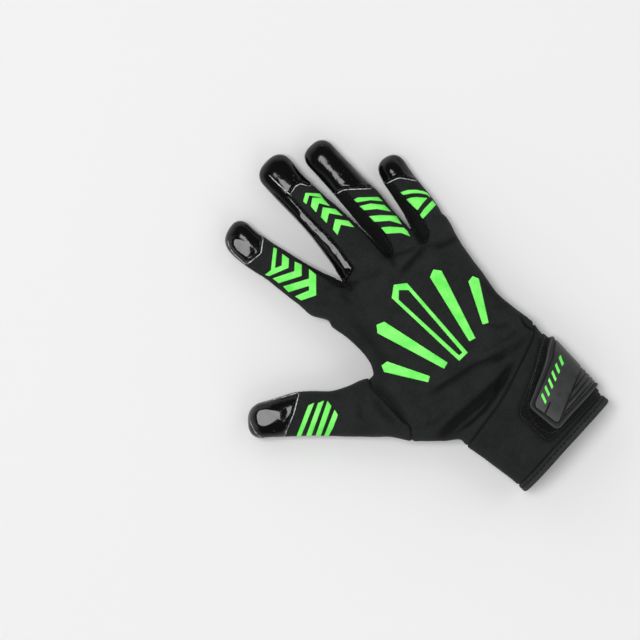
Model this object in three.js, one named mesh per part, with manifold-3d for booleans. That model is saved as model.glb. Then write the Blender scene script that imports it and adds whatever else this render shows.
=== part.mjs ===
// A thin goalkeeper glove for the right hand, lying palm down with its back up and its fingers spread.
// Millimetres, +Z up. +Y runs along the hand to the fingertips and the thumb is on the -X side.
// The origin is the middle of the palm's flat underside, on the surface that the glove lies on.
//
// The glove is a hollow skin: a lofted hand and cuff, four lofted fingers and a lofted thumb, joined,
// less the same forms made one wall smaller. The skin is then cut along its seams into its panels.

import * as THREE from "three";
import { mergeVertices } from "three/addons/utils/BufferGeometryUtils.js";
import Module from "manifold-3d";

const wasm = await Module();
wasm.setup();

// Hand and cuff
const palmLength = 110; // wrist line to the line where the fingers part
const handWidth = 94; // across the knuckles
const handThickness = 27;
const cuffLength = 48; // wrist line to the hem
const cuffWidth = 74;
const cuffThickness = 31;

// Fingers, each measured from its root inside the hand
const fingerWidth = 20;
const fingerThickness = 16;
const indexLength = 87;
const middleLength = 99.5;
const ringLength = 87;
const pinkyLength = 51.5;
const thumbLength = 98;
const thumbWidth = 26;
const thumbThickness = 18;

// Materials and seams
const fabricWall = 1.5;
const cuffWall = 2.6;
const foldTop = 0.7; // the share of handThickness from which folds are at their full depth
const seamGap = 0.3; // between two pieces that are sewn or laid together
const sideSeamHeight = 8; // where the back and the gussets meet the palm
const bindingWidth = 5;
const bindingBulge = 0.8; // how far the hem's binding stands out of the cuff

// The wrist's slit, and the strap that closes it
const slitHeight = 2.5;
const slitMiddle = 11; // of the slit, above the surface
const loopThickness = 1;
const strapThickness = 1.5;
const rimThickness = 0.9;
const patchThickness = 1;
const strapEdge = 0.67; // where the glove's edge is, as a share of cuffWidth
const strapReach = 39; // from the glove's edge to the strap's free end
const strapTaper = 2.5; // how far the free end leans
const strapEndWidth = 23;
const strapRootWidth = 41;
const strapCorner = 4;
const strapAboveHem = 13.5;
const strapSewnHeight = 5; // where the strap is sewn on, above the surface
const rimWidth = 2.6;
const loopBorder = 6; // how far the loop patch shows past the strap
const loopHem = 1.5; // and how far towards the hem
const ribWidth = 1.1;
const ribPitch = 3.4;
const ribCount = 4;
const ribDepth = 0.5;
const ribLength = 22;

// How the forms are faceted
const handSides = 24;
const fingerSides = 12;
const ringStep = 9.6;
const roundness = 2.5; // exponent of each section: 2 is an ellipse, more is squarer
const tipSteps = 3;
const rootShares = [0.3, 0.78]; // of a finger's section, at the steps of its rounded root
const rootRounding = 8;
const webRounding = 9; // how far the hand's end rounds off between the fingers
const tipRounding = 0.62; // a tip's length as a share of its finger's thickness
const tipLift = 0.45; // how far a tip's lower side rises, as a share of half its height
const far = 300; // beyond every piece, for the solids that cut
const floorDip = 1.6; // how far each section would reach under the surface if it weren't flattened

// Where the palm's middle lies along its length, and the middle finger's line across its width
const palmMiddle = 0.545;
const wristY = -palmMiddle * palmLength;

// Sections of the hand, from the wrist line to the fingers.
// along is a share of palmLength, left and right are shares of handWidth and top is one of handThickness.
const handSections = [
  { along: 0.0, left: -0.346, right: 0.5, top: 0.96 },
  { along: 0.055, left: -0.426, right: 0.497, top: 0.96 },
  { along: 0.12, left: -0.511, right: 0.495, top: 0.98 },
  { along: 0.2, left: -0.585, right: 0.503, top: 1.0 },
  { along: 0.27, left: -0.591, right: 0.493, top: 1.01 },
  { along: 0.36, left: -0.553, right: 0.482, top: 1.02 },
  { along: 0.45, left: -0.511, right: 0.484, top: 1.02 },
  { along: 0.55, left: -0.473, right: 0.502, top: 1.01 },
  { along: 0.64, left: -0.42, right: 0.514, top: 1.0 },
  { along: 0.73, left: -0.404, right: 0.529, top: 0.98 },
  { along: 0.82, left: -0.412, right: 0.548, top: 0.95 },
  { along: 0.91, left: -0.431, right: 0.574, top: 0.89 },
  { along: 1.0, left: -0.447, right: 0.588, top: 0.8 },
];

// Sections of the cuff, from past the hem to the wrist line.
// along is a share of cuffLength below the wrist, left and right are shares of cuffWidth
// and top is one of cuffThickness.
const cuffSections = [
  { along: 1.15, left: -0.346, right: 0.64, top: 1.01 },
  { along: 1.0, left: -0.349, right: 0.638, top: 1.0 },
  { along: 0.75, left: -0.369, right: 0.631, top: 0.97 },
  { along: 0.4, left: -0.405, right: 0.635, top: 0.91 },
  { along: 0.12, left: -0.437, right: 0.636, top: 0.84 },
];

// Where each finger leaves the hand: across is a share of handWidth, up is one of palmLength from
// the palm's middle, and turn is in degrees to the thumb's side. In its sections along is a share
// of the finger's length, side and width are shares of its width, and height is one of its thickness.
const fingers = {
  index: {
    length: indexLength,
    width: fingerWidth,
    thickness: fingerThickness,
    across: -0.324,
    up: 0.382,
    turn: 9.4,
    sections: [
      { along: 0, side: 0.12, width: 1.1, height: 1.3 },
      { along: 0.09, side: 0.14, width: 1.2, height: 1.3 },
      { along: 0.186, side: 0.08, width: 1.36, height: 1.24 },
      { along: 0.29, side: 0.03, width: 1.21, height: 1.14 },
      { along: 0.384, side: 0, width: 1.14, height: 1.08 },
      { along: 0.56, side: -0.01, width: 1.03, height: 1.02 },
      { along: 0.735, side: -0.06, width: 1.02, height: 0.96 },
      { along: 0.85, side: -0.07, width: 1.02, height: 0.9 },
      { along: 1, side: 0.02, width: 0.98, height: 0.84 },
    ],
  },
  middle: {
    length: middleLength,
    width: fingerWidth,
    thickness: fingerThickness,
    across: -0.016,
    up: 0.382,
    turn: -0.9,
    sections: [
      { along: 0, side: 0, width: 1.2, height: 1.2 },
      { along: 0.08, side: -0.03, width: 1.45, height: 1.36 },
      { along: 0.16, side: -0.055, width: 1.5, height: 1.26 },
      { along: 0.28, side: -0.012, width: 1.35, height: 1.16 },
      { along: 0.38, side: 0, width: 1.26, height: 1.12 },
      { along: 0.48, side: 0, width: 1.18, height: 1.08 },
      { along: 0.61, side: -0.015, width: 1.115, height: 1.03 },
      { along: 0.78, side: -0.01, width: 1.1, height: 0.98 },
      { along: 0.88, side: 0, width: 1.12, height: 0.92 },
      { along: 1, side: 0, width: 1.1, height: 0.86 },
    ],
  },
  ring: {
    length: ringLength,
    width: fingerWidth,
    thickness: fingerThickness,
    across: 0.242,
    up: 0.382,
    turn: -1.8,
    sections: [
      { along: 0, side: 0, width: 1.0, height: 1.3 },
      { along: 0.09, side: 0.01, width: 1.03, height: 1.32 },
      { along: 0.32, side: 0.04, width: 1.05, height: 1.13 },
      { along: 0.46, side: 0.06, width: 1.07, height: 1.08 },
      { along: 0.67, side: 0.03, width: 1.005, height: 1.0 },
      { along: 0.89, side: 0, width: 0.995, height: 0.9 },
      { along: 1, side: 0, width: 0.98, height: 0.84 },
    ],
  },
  pinky: {
    length: pinkyLength,
    width: fingerWidth,
    thickness: fingerThickness,
    across: 0.46,
    up: 0.382,
    turn: -9.6,
    sections: [
      { along: 0, side: -0.05, width: 0.98, height: 1.2 },
      { along: 0.16, side: 0.0, width: 1.03, height: 1.2 },
      { along: 0.36, side: 0.03, width: 1.0, height: 1.06 },
      { along: 0.55, side: 0.02, width: 0.95, height: 0.98 },
      { along: 0.75, side: 0, width: 0.91, height: 0.9 },
      { along: 1, side: 0, width: 0.88, height: 0.82 },
    ],
  },
  thumb: {
    length: thumbLength,
    width: thumbWidth,
    thickness: thumbThickness,
    across: -0.426,
    up: -0.218,
    turn: 52.7,
    sections: [
      { along: 0, side: 0, width: 1.55, height: 1.36 },
      { along: 0.065, side: 0, width: 1.53, height: 1.35 },
      { along: 0.15, side: 0.03, width: 1.42, height: 1.3 },
      { along: 0.25, side: 0.037, width: 1.32, height: 1.22 },
      { along: 0.36, side: 0.02, width: 1.14, height: 1.12 },
      { along: 0.48, side: 0.033, width: 1.0, height: 1.04 },
      { along: 0.67, side: 0.11, width: 0.99, height: 0.98 },
      { along: 0.86, side: 0.08, width: 0.8, height: 0.9 },
      { along: 1, side: 0.03, width: 0.76, height: 0.84 },
    ],
  },
};

// Folds pressed into the upper side, each along a line between two points of the hand.
// x is a share of handWidth, y one of palmLength, and width and depth are shares of handThickness.
const folds = [
  { fromX: -0.46, fromY: -0.475, toX: 0.25, toY: -0.52, width: 0.2, depth: 0.07 },
  { fromX: -0.27, fromY: -0.26, toX: 0.43, toY: -0.345, width: 0.2, depth: 0.04 },
  { fromX: 0.1, fromY: 0.335, toX: 0.62, toY: 0.32, width: 0.18, depth: 0.05 },
  { fromX: -0.52, fromY: 0.03, toX: -0.525, toY: -0.3, width: 0.22, depth: 0.07 },
];

// The seam across the wrist and the upper edge of the hem's binding, from the thumb's side
// to the little finger's. x is a share of cuffWidth and down is one of cuffLength below the wrist line.
const wristSeam = [
  { x: -1, down: 0.13 },
  { x: -0.44, down: 0.115 },
  { x: -0.27, down: 0.07 },
  { x: -0.07, down: 0.02 },
  { x: 0.07, down: -0.03 },
  { x: 0.27, down: -0.135 },
  { x: 0.47, down: -0.24 },
  { x: 0.58, down: -0.31 },
  { x: 0.66, down: -0.42 },
  { x: 1.4, down: -0.44 },
];
const hem = [
  { x: -1, down: 0.935 },
  { x: -0.35, down: 0.92 },
  { x: 0.15, down: 0.865 },
  { x: 0.64, down: 0.83 },
  { x: 1.4, down: 0.82 },
];

// Seams of the fingertip caps: along is a share of the finger's length and side is one of its width.
const capSeams = {
  index: [
    { along: 0.77, side: -1.2 },
    { along: 0.755, side: -0.57 },
    { along: 0.72, side: -0.02 },
    { along: 0.765, side: 0.36 },
    { along: 0.78, side: 1.2 },
  ],
  middle: [
    { along: 0.745, side: -0.3 },
    { along: 0.768, side: 0.1 },
    { along: 0.76, side: 0.28 },
    { along: 0.715, side: 0.42 },
    { along: 0.7, side: 0.62 },
  ],
  ring: [
    { along: 0.65, side: -0.62 },
    { along: 0.63, side: -0.18 },
    { along: 0.51, side: 0.47 },
    { along: 0.5, side: 0.75 },
  ],
  pinky: [
    { along: 0.76, side: -0.6 },
    { along: 0.75, side: -0.26 },
    { along: 0.73, side: 0.03 },
    { along: 0.58, side: 0.45 },
    { along: 0.54, side: 1.2 },
  ],
  thumb: [
    { along: 0.8, side: -1.2 },
    { along: 0.775, side: -0.3 },
    { along: 0.715, side: 0.12 },
    { along: 0.665, side: 0.6 },
    { along: 0.655, side: 1.2 },
  ],
};

// The palm's material climbs the thumb side of the middle finger up to this seam.
const middleWrap = [
  { along: 0.165, side: -0.3 },
  { along: 0.38, side: -0.18 },
  { along: 0.58, side: -0.22 },
  { along: 0.76, side: -0.2 },
  { along: 1.1, side: -0.2 },
  { along: 1.1, side: -0.7 },
  { along: 0.4, side: -0.8 },
  { along: 0.14, side: -0.76 },
];

// Each gusset's outline: along and side are shares of the named finger's length and width.
const gussetOutlines = {
  gusset_index: [
    { finger: "index", along: 0.16, side: 0.52 },
    { finger: "index", along: 0.4, side: 0.46 },
    { finger: "index", along: 0.82, side: 0.36 },
    { finger: "index", along: 0.82, side: 0.8 },
    { finger: "middle", along: 0.4, side: -0.92 },
    { finger: "middle", along: 0.115, side: -0.86 },
  ],
  gusset_middle_ring: [
    { finger: "middle", along: 0.06, side: 0.56 },
    { finger: "middle", along: 0.35, side: 0.5 },
    { finger: "middle", along: 0.8, side: 0.44 },
    { finger: "middle", along: 0.8, side: 0.66 },
    { finger: "ring", along: 0.72, side: -0.62 },
    { finger: "ring", along: 0.72, side: -0.2 },
    { finger: "ring", along: 0.05, side: -0.2 },
  ],
  gusset_ring_pinky: [
    { finger: "ring", along: 0.03, side: 0.4 },
    { finger: "ring", along: 0.62, side: 0.42 },
    { finger: "ring", along: 0.62, side: 0.64 },
    { finger: "pinky", along: 0.84, side: -0.62 },
    { finger: "pinky", along: 0.84, side: -0.26 },
    { finger: "pinky", along: 0.04, side: -0.26 },
  ],
};

// Where the thumb's pieces are sewn to the hand. x is a share of handWidth and y one of palmLength.
const thumbSeam = [
  { x: -0.488, y: 0.45 },
  { x: -0.488, y: 0.05 },
  { x: -0.522, y: 0.0 },
  { x: -0.527, y: -0.14 },
  { x: -0.522, y: -0.3 },
  { x: -0.575, y: -0.37 },
];

// Every column of a table at a place along it, on a smooth curve through its rows.
function rowAt(rows, along) {
  const last = rows.length - 1;
  const i = THREE.MathUtils.clamp(rows.findIndex((row) => row.along > along) - 1, 0, last - 1);
  const start = along >= rows[last].along ? last - 1 : i;
  const span = rows[start + 1].along - rows[start].along;
  const t = THREE.MathUtils.clamp((along - rows[start].along) / span, 0, 1);
  const found = {};
  for (const key of Object.keys(rows[0])) {
    const slope = (n) => {
      const before = rows[Math.max(n - 1, 0)];
      const after = rows[Math.min(n + 1, last)];
      return ((after[key] - before[key]) / (after.along - before.along)) * span;
    };
    const a = rows[start][key];
    const b = rows[start + 1][key];
    found[key] =
      a * (1 + 2 * t) * (1 - t) ** 2 +
      slope(start) * t * (1 - t) ** 2 +
      b * t * t * (3 - 2 * t) +
      slope(start + 1) * t * t * (t - 1);
  }
  return found;
}

// Points round a section that stands on the surface, across a line that runs in the direction of travel.
// lift raises its lower side from the surface.
function sectionRing({ x, y, halfWidth, height, lift = 0, travel, sides, grow }) {
  const across = new THREE.Vector3(travel.y, -travel.x, 0);
  const halfHeight = Math.max((height + floorDip - lift) / 2 + grow, 0.05);
  const wide = Math.max(halfWidth + grow, 0.05);
  const middle = (height - floorDip + lift) / 2;
  const bent = (value) => Math.sign(value) * Math.abs(value) ** (2 / roundness);
  return Array.from({ length: sides }, (_, n) => {
    const angle = (2 * Math.PI * n) / sides;
    return new THREE.Vector3(x, y, middle)
      .addScaledVector(across, wide * bent(Math.cos(angle)))
      .add(new THREE.Vector3(0, 0, halfHeight * bent(Math.sin(angle))));
  });
}

// How much is left of a section's size towards a rounded end, at a share of the way into it.
const roundedEnd = (share) => (1 - share ** roundness) ** (1 / roundness);

// A fold's push on one point: full on its line and on the upper side, none below the side seam.
function foldDepth(point, fold) {
  const from = new THREE.Vector2(fold.fromX * handWidth, fold.fromY * palmLength);
  const to = new THREE.Vector2(fold.toX * handWidth, fold.toY * palmLength);
  const line = to.clone().sub(from);
  const here = new THREE.Vector2(point.x, point.y).sub(from);
  const share = THREE.MathUtils.clamp(here.dot(line) / line.lengthSq(), 0, 1);
  const distance = here.addScaledVector(line, -share).length();
  const reach = fold.width * handThickness;
  const upper = THREE.MathUtils.smoothstep(point.z, sideSeamHeight, handThickness * foldTop);
  return fold.depth * handThickness * upper * Math.exp(-((distance / reach) ** 2));
}

function pressFolds(point) {
  const depth = folds.reduce((sum, fold) => sum + foldDepth(point, fold), 0);
  point.z -= depth;
  return point;
}

// A closed geometry through rings with equal numbers of points, fanned shut at both ends.
function skin(rings) {
  const sides = rings[0].length;
  const centreOf = (ring) =>
    ring.reduce((sum, point) => sum.add(point), new THREE.Vector3()).divideScalar(sides);
  const points = [...rings.flat(), centreOf(rings[0]), centreOf(rings.at(-1))];
  const startCentre = points.length - 2;
  const endCentre = points.length - 1;
  const index = [];
  for (let side = 0; side < sides; side++) {
    const next = (side + 1) % sides;
    for (let ring = 0; ring < rings.length - 1; ring++) {
      const a = ring * sides;
      const b = a + sides;
      index.push(a + side, b + side, b + next, a + side, b + next, a + next);
    }
    const end = (rings.length - 1) * sides;
    index.push(startCentre, side, next, endCentre, end + next, end + side);
  }
  const geometry = new THREE.BufferGeometry().setFromPoints(points);
  geometry.setIndex(index);
  return geometry;
}

function solidOf(geometry) {
  const bare = geometry.clone();
  bare.deleteAttribute("normal");
  bare.deleteAttribute("uv");
  const merged = mergeVertices(bare, 1e-4);
  return new wasm.Manifold(
    new wasm.Mesh({
      numProp: 3,
      vertProperties: new Float32Array(merged.attributes.position.array),
      triVerts: new Uint32Array(merged.index.array),
    }),
  );
}

function geometryOf(solid) {
  const mesh = solid.getMesh();
  const positions = new Float32Array(mesh.numVert * 3);
  for (let n = 0; n < mesh.numVert; n++) {
    positions.set(mesh.vertProperties.subarray(n * mesh.numProp, n * mesh.numProp + 3), n * 3);
  }
  const geometry = new THREE.BufferGeometry();
  geometry.setAttribute("position", new THREE.BufferAttribute(positions, 3));
  geometry.setIndex(new THREE.BufferAttribute(mesh.triVerts, 1));
  geometry.computeVertexNormals();
  return geometry;
}

const union = (solids) => solids.reduce((whole, solid) => whole.add(solid));

// The hand and cuff as one form. grow makes it larger or, when negative, smaller all round.
function bodyForm(grow) {
  const cuffRows = cuffSections.map((row) => ({
    along: wristY - row.along * cuffLength,
    left: row.left * cuffWidth,
    right: row.right * cuffWidth,
    top: row.top * cuffThickness,
  }));
  const handRows = handSections.map((row) => ({
    along: wristY + row.along * palmLength,
    left: row.left * handWidth,
    right: row.right * handWidth,
    top: row.top * handThickness,
  }));
  const rows = [...cuffRows, ...handRows];
  const start = rows[0].along;
  const straightEnd = rows.at(-1).along - webRounding;
  const roundLength = rows.at(-1).along + grow - straightEnd;
  const steps = Math.ceil((straightEnd - start) / ringStep);
  const places = Array.from({ length: steps + 1 }, (_, n) => ({
    y: start + ((straightEnd - start) * n) / steps,
    left: 1,
  }));
  for (let n = 1; n <= tipSteps; n++) {
    const share = Math.sin((Math.PI / 2) * (n / (tipSteps + 0.5)));
    places.push({ y: straightEnd + roundLength * share, left: roundedEnd(share) });
  }
  const rings = places.map(({ y, left }) => {
    const row = rowAt(rows, y);
    const shrink = ((1 - left) * (row.top + floorDip)) / 2;
    return sectionRing({
      x: (row.left + row.right) / 2,
      y,
      halfWidth: (row.right - row.left) / 2,
      height: row.top - shrink,
      lift: shrink,
      travel: { x: 0, y: 1 },
      sides: handSides,
      grow,
    }).map(pressFolds);
  });
  return solidOf(skin(rings));
}

// A finger's own frame: a place along it and to its side, in millimetres, becomes a place in the glove.
function fingerFrame(finger) {
  const angle = THREE.MathUtils.degToRad(finger.turn);
  const travel = new THREE.Vector2(-Math.sin(angle), Math.cos(angle));
  const across = new THREE.Vector2(travel.y, -travel.x);
  const root = new THREE.Vector2(finger.across * handWidth, finger.up * palmLength);
  const place = (along, side) =>
    root.clone().addScaledVector(travel, along).addScaledVector(across, side);
  return { travel, place };
}

// A finger's form starts inside the hand with a rounded root and ends in a rounded tip.
function fingerForm(finger, grow) {
  const { travel, place } = fingerFrame(finger);
  const length = finger.length + grow;
  const tip = (finger.thickness + grow) * tipRounding;
  const steps = Math.ceil((length - tip) / ringStep);
  const places = rootShares.map((share, n) => ({
    along: (rootRounding + grow) * (n / rootShares.length - 1),
    left: share,
    lifted: 1 - share,
  }));
  for (let n = 0; n <= steps; n++) {
    places.push({ along: ((length - tip) * n) / steps, left: 1, lifted: 0 });
  }
  for (let n = 1; n <= tipSteps; n++) {
    const share = Math.sin((Math.PI / 2) * (n / (tipSteps + 0.4)));
    const left = roundedEnd(share);
    places.push({ along: length - tip * (1 - share), left, lifted: (1 - left) * tipLift });
  }
  const rings = places.map(({ along, left, lifted }) => {
    const row = rowAt(finger.sections, along / length);
    const centre = place(along, row.side * finger.width);
    const top = row.height * finger.thickness;
    const half = (top + floorDip) / 2;
    return sectionRing({
      x: centre.x,
      y: centre.y,
      halfWidth: ((row.width * finger.width) / 2 + grow) * left - grow,
      height: top - (1 - left) * half,
      lift: lifted * half,
      travel,
      sides: fingerSides,
      grow,
    }).map(pressFolds);
  });
  return solidOf(skin(rings));
}

// The whole glove's form, flattened where it lies on the surface or, when smaller, one wall above it.
function gloveForm(grow) {
  const forms = Object.values(fingers).map((finger) => fingerForm(finger, grow));
  return union([bodyForm(grow), ...forms]).trimByPlane([0, 0, 1], Math.max(-grow, 0));
}

const cuffForm = (grow) => bodyForm(grow).trimByPlane([0, 0, 1], Math.max(-grow, 0));

// A flat outline moved outwards by a distance. Its points run anticlockwise.
function grownOutline(points, by) {
  return points.map((point, n) => {
    const before = points.at(n - 1);
    const after = points[(n + 1) % points.length];
    const inward = point.clone().sub(before).normalize();
    const outward = after.clone().sub(point).normalize();
    const normals = [inward, outward].map((side) => new THREE.Vector2(side.y, -side.x));
    const sum = normals[0].clone().add(normals[1]);
    return point.clone().addScaledVector(sum, (2 * by) / sum.lengthSq());
  });
}

// An upright solid on an outline, taller than the glove. grow widens it all round.
function upright(outline, grow) {
  const shape = new THREE.Shape(grownOutline(outline, grow));
  const geometry = new THREE.ExtrudeGeometry(shape, { depth: 2 * far, bevelEnabled: false });
  return solidOf(geometry.translate(0, 0, -far));
}

const point = (x, y) => new THREE.Vector2(x, y);

// Everything on the cuff's side of a line across the wrist.
function belowLine(line) {
  const edge = line.map((row) => point(row.x * cuffWidth, wristY - row.down * cuffLength));
  return [point(edge[0].x, -far), point(edge.at(-1).x, -far), ...edge.reverse()];
}

const onFinger = (finger, row) =>
  fingerFrame(finger).place(row.along * finger.length, row.side * finger.width);

// The fingertip's own region: all of the finger past its cap seam.
function capOutline(name) {
  const seam = capSeams[name];
  const beyond = 1.2;
  return [
    { along: beyond, side: seam[0].side },
    ...seam,
    { along: beyond, side: seam.at(-1).side },
  ].map((row) => onFinger(fingers[name], row));
}

const thumbOutline = thumbSeam.map((row) => point(row.x * handWidth, row.y * palmLength));
thumbOutline.push(point(-far, thumbOutline.at(-1).y), point(-far, thumbOutline[0].y));

// Regions that are cut along the seams, each wider by grow all round
const cuffSide = (grow) => upright(belowLine(wristSeam), grow);
const hemSide = (grow) => upright(belowLine(hem), grow);
const above = (height) => solidOf(new THREE.BoxGeometry(2 * far, 2 * far, far))
  .translate(0, 0, height + far / 2);
const thumbSide = (grow) => upright(thumbOutline.toReversed(), grow);
const capSide = (name, grow) => upright(capOutline(name), grow);
const lowerSide = (grow) => solidOf(new THREE.BoxGeometry(2 * far, 2 * far, far))
  .translate(0, 0, sideSeamHeight + grow - far / 2);
const wrapOutline = middleWrap.map((row) => onFinger(fingers.middle, row));
const wrapSide = (grow) => upright(wrapOutline, grow);
const gussetOutline = (name) =>
  gussetOutlines[name].map((row) => onFinger(fingers[row.finger], row)).toReversed();
const gussetSide = (name, grow) => upright(gussetOutline(name), grow);

// The largest body of a cut, without the crumbs that a seam can leave beside it.
function mainBody(solid) {
  const bodies = solid.decompose();
  return bodies.reduce((best, body) => (body.volume() > best.volume() ? body : best));
}

const fingerCaps = (grow) =>
  union(["index", "middle", "ring", "pinky"].map((name) => capSide(name, grow)));
const gussetNames = Object.keys(gussetOutlines);

// The glove's skin above the wrist seam, and its panels
const handSkin = gloveForm(0).subtract(gloveForm(-fabricWall)).subtract(cuffSide(seamGap));
const thumbSkin = handSkin.intersect(thumbSide(0));
const mainSkin = handSkin.subtract(thumbSide(seamGap));
const palmSide = (grow) => union([lowerSide(grow), fingerCaps(grow), wrapSide(grow)]);
const thumbLower = (grow) => lowerSide(grow).add(capSide("thumb", grow));

const besideBack = (grow) =>
  union([palmSide(grow), ...gussetNames.map((name) => gussetSide(name, grow))]);

const solids = {
  palm: mainSkin.intersect(palmSide(0)),
  back_panel: mainSkin.subtract(besideBack(seamGap)),
  thumb_palm: thumbSkin.intersect(thumbLower(0)),
  thumb_back: thumbSkin.subtract(thumbLower(seamGap)),
};
for (const name of gussetNames) {
  solids[name] = mainSkin.intersect(gussetSide(name, 0)).subtract(palmSide(seamGap));
}

// The cuff is a tube that its slit opens along the little finger's side.
const slit = solidOf(new THREE.BoxGeometry(cuffWidth, far, slitHeight))
  .translate(cuffWidth, 0, slitMiddle);
const cuffSkin = cuffForm(0).subtract(cuffForm(-cuffWall)).subtract(slit);
solids.cuff = cuffSkin.intersect(cuffSide(0)).subtract(hemSide(seamGap));

// The binding wraps the hem's edge, so it stands out of the cuff on both sides.
const hemBand = hemSide(0).subtract(hemSide(0).translate(0, -bindingWidth, 0));
solids.hem_binding = bodyForm(bindingBulge)
  .trimByPlane([0, 0, 1], 0)
  .subtract(cuffForm(-cuffWall - bindingBulge))
  .subtract(slit)
  .intersect(hemBand);

// The strap's outline: a free end with rounded corners, widening to its root at the glove's edge.
const strapEndX = strapEdge * cuffWidth - strapReach;
const strapLow = wristY - cuffLength + strapAboveHem;
const strapEnd = [
  { x: strapEndX, y: strapLow + strapEndWidth },
  { x: strapEndX + strapTaper, y: strapLow },
];
const strapOutline = [
  point(strapEnd[1].x + strapCorner, strapLow),
  point(far, strapLow),
  point(far, strapLow + strapRootWidth),
  point(strapEdge * cuffWidth, strapLow + strapRootWidth),
  point(strapEnd[0].x + strapCorner, strapEnd[0].y + strapCorner * 0.5),
  point(strapEnd[0].x + strapCorner * 0.2, strapEnd[0].y - strapCorner * 0.3),
  point(strapEnd[0].x, strapEnd[0].y - strapCorner),
  point(strapEnd[1].x, strapLow + strapCorner),
  point(strapEnd[1].x + strapCorner * 0.3, strapLow + strapCorner * 0.3),
];
const strapSide = (grow) => upright(strapOutline, grow).intersect(above(strapSewnHeight - grow));
const layer = (low, high) => bodyForm(high).subtract(bodyForm(low));

// The loop patch, strap, rim and rubber patch lie on the cuff in layers, with a gap under each.
const loopTop = seamGap + loopThickness;
const strapUnder = loopTop + seamGap;
const strapTop = strapUnder + strapThickness;
const patchUnder = strapTop + seamGap;
solids.loop_patch = layer(seamGap, loopTop)
  .intersect(upright(strapOutline, loopBorder))
  .intersect(above(slitMiddle + slitHeight / 2))
  .intersect(upright([
    point(-far, strapLow - loopHem),
    point(far, strapLow - loopHem),
    point(far, far),
    point(-far, far),
  ], 0));
const strapRoot = layer(seamGap, strapTop).subtract(above(slitMiddle - slitHeight / 2));
solids.strap = layer(strapUnder, strapTop).add(strapRoot).intersect(strapSide(0));
solids.strap_rim = layer(patchUnder, patchUnder + rimThickness)
  .intersect(strapSide(0))
  .subtract(upright(strapOutline, -rimWidth));
const ribs = Array.from({ length: ribCount }, (_, n) => {
  const rootY = strapLow + rimWidth + ribPitch * (n + 1);
  const endY = strapLow + rimWidth + (ribPitch * (n + 1)) / 2;
  const startX = strapEdge * cuffWidth - ribLength;
  return upright([
    point(startX, endY - ribWidth / 2),
    point(strapEdge * cuffWidth, rootY - ribWidth / 2),
    point(far, rootY - ribWidth / 2),
    point(far, rootY + ribWidth / 2),
    point(strapEdge * cuffWidth, rootY + ribWidth / 2),
    point(startX, endY + ribWidth / 2),
  ], 0);
});
solids.strap_patch = layer(patchUnder, patchUnder + patchThickness)
  .intersect(upright(strapOutline, -rimWidth - seamGap))
  .intersect(above(strapSewnHeight))
  .subtract(union(ribs).subtract(bodyForm(patchUnder + patchThickness - ribDepth)));

const colours = {
  palm: 0x151617,
  back_panel: 0x262828,
  gusset_index: 0x202222,
  gusset_middle_ring: 0x202222,
  gusset_ring_pinky: 0x202222,
  thumb_back: 0x262828,
  thumb_palm: 0x151617,
  cuff: 0x2a2c2c,
  hem_binding: 0x3a3c3c,
  loop_patch: 0x181818,
  strap: 0x242525,
  strap_rim: 0x161616,
  strap_patch: 0x373737,
};

const group = new THREE.Group();
for (const [name, solid] of Object.entries(solids)) {
  const material = new THREE.MeshStandardMaterial({ color: colours[name], roughness: 0.8 });
  const mesh = new THREE.Mesh(geometryOf(mainBody(solid)), material);
  mesh.name = name;
  group.add(mesh);
}

export default group;
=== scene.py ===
import itertools
import math
from functools import partial

import bpy
import numpy as np
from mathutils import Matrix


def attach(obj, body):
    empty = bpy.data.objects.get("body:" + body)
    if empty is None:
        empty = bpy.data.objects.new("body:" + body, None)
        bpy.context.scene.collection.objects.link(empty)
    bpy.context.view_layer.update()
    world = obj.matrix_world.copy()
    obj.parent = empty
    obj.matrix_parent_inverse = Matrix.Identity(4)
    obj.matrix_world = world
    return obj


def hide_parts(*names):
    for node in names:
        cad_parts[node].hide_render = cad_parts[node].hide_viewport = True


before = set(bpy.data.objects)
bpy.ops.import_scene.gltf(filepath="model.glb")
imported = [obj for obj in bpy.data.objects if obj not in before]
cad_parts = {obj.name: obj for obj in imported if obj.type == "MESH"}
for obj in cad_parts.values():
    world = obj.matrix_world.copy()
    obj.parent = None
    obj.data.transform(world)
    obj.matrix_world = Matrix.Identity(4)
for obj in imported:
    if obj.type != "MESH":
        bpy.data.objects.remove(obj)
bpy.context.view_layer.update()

import openvdb as vdb
from mathutils import Vector
from mathutils.bvhtree import BVHTree
from mathutils.kdtree import KDTree

# Lengths here are in millimetres in the part's own frame, and become metres when a mesh is made.
MM = 0.001
GRID_LOW, GRID_HIGH = (-124.0, -116.0, -2.7), (64.0, 146.0, 36.0)  # the grid that the skin is drawn on
PITCH = 0.9
ROUND = 2.5  # exponent of the sections
DIP = 1.6  # how far sections reach under the surface
FINGER_TIP, THUMB_TIP = 16 * 0.62, 18 * 0.62  # lengths of the rounded tips
FINGER_ROOT, TIP_DROP = 9.0, 1.5  # length of the rounded root, and how far a tip's top comes down
JOIN, FLOOR_JOIN = 3.6, 1.2  # how wide the fingers and the flat underside blend in
SEAM_Z = 8.0  # height of the seam between back and palm
WALL, CUFF_WALL = 1.4, 2.5
LOWEST = 0.02  # height of the lowest points of the skin and the stitches
ABOVE = 60  # a height over all of the glove

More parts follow.
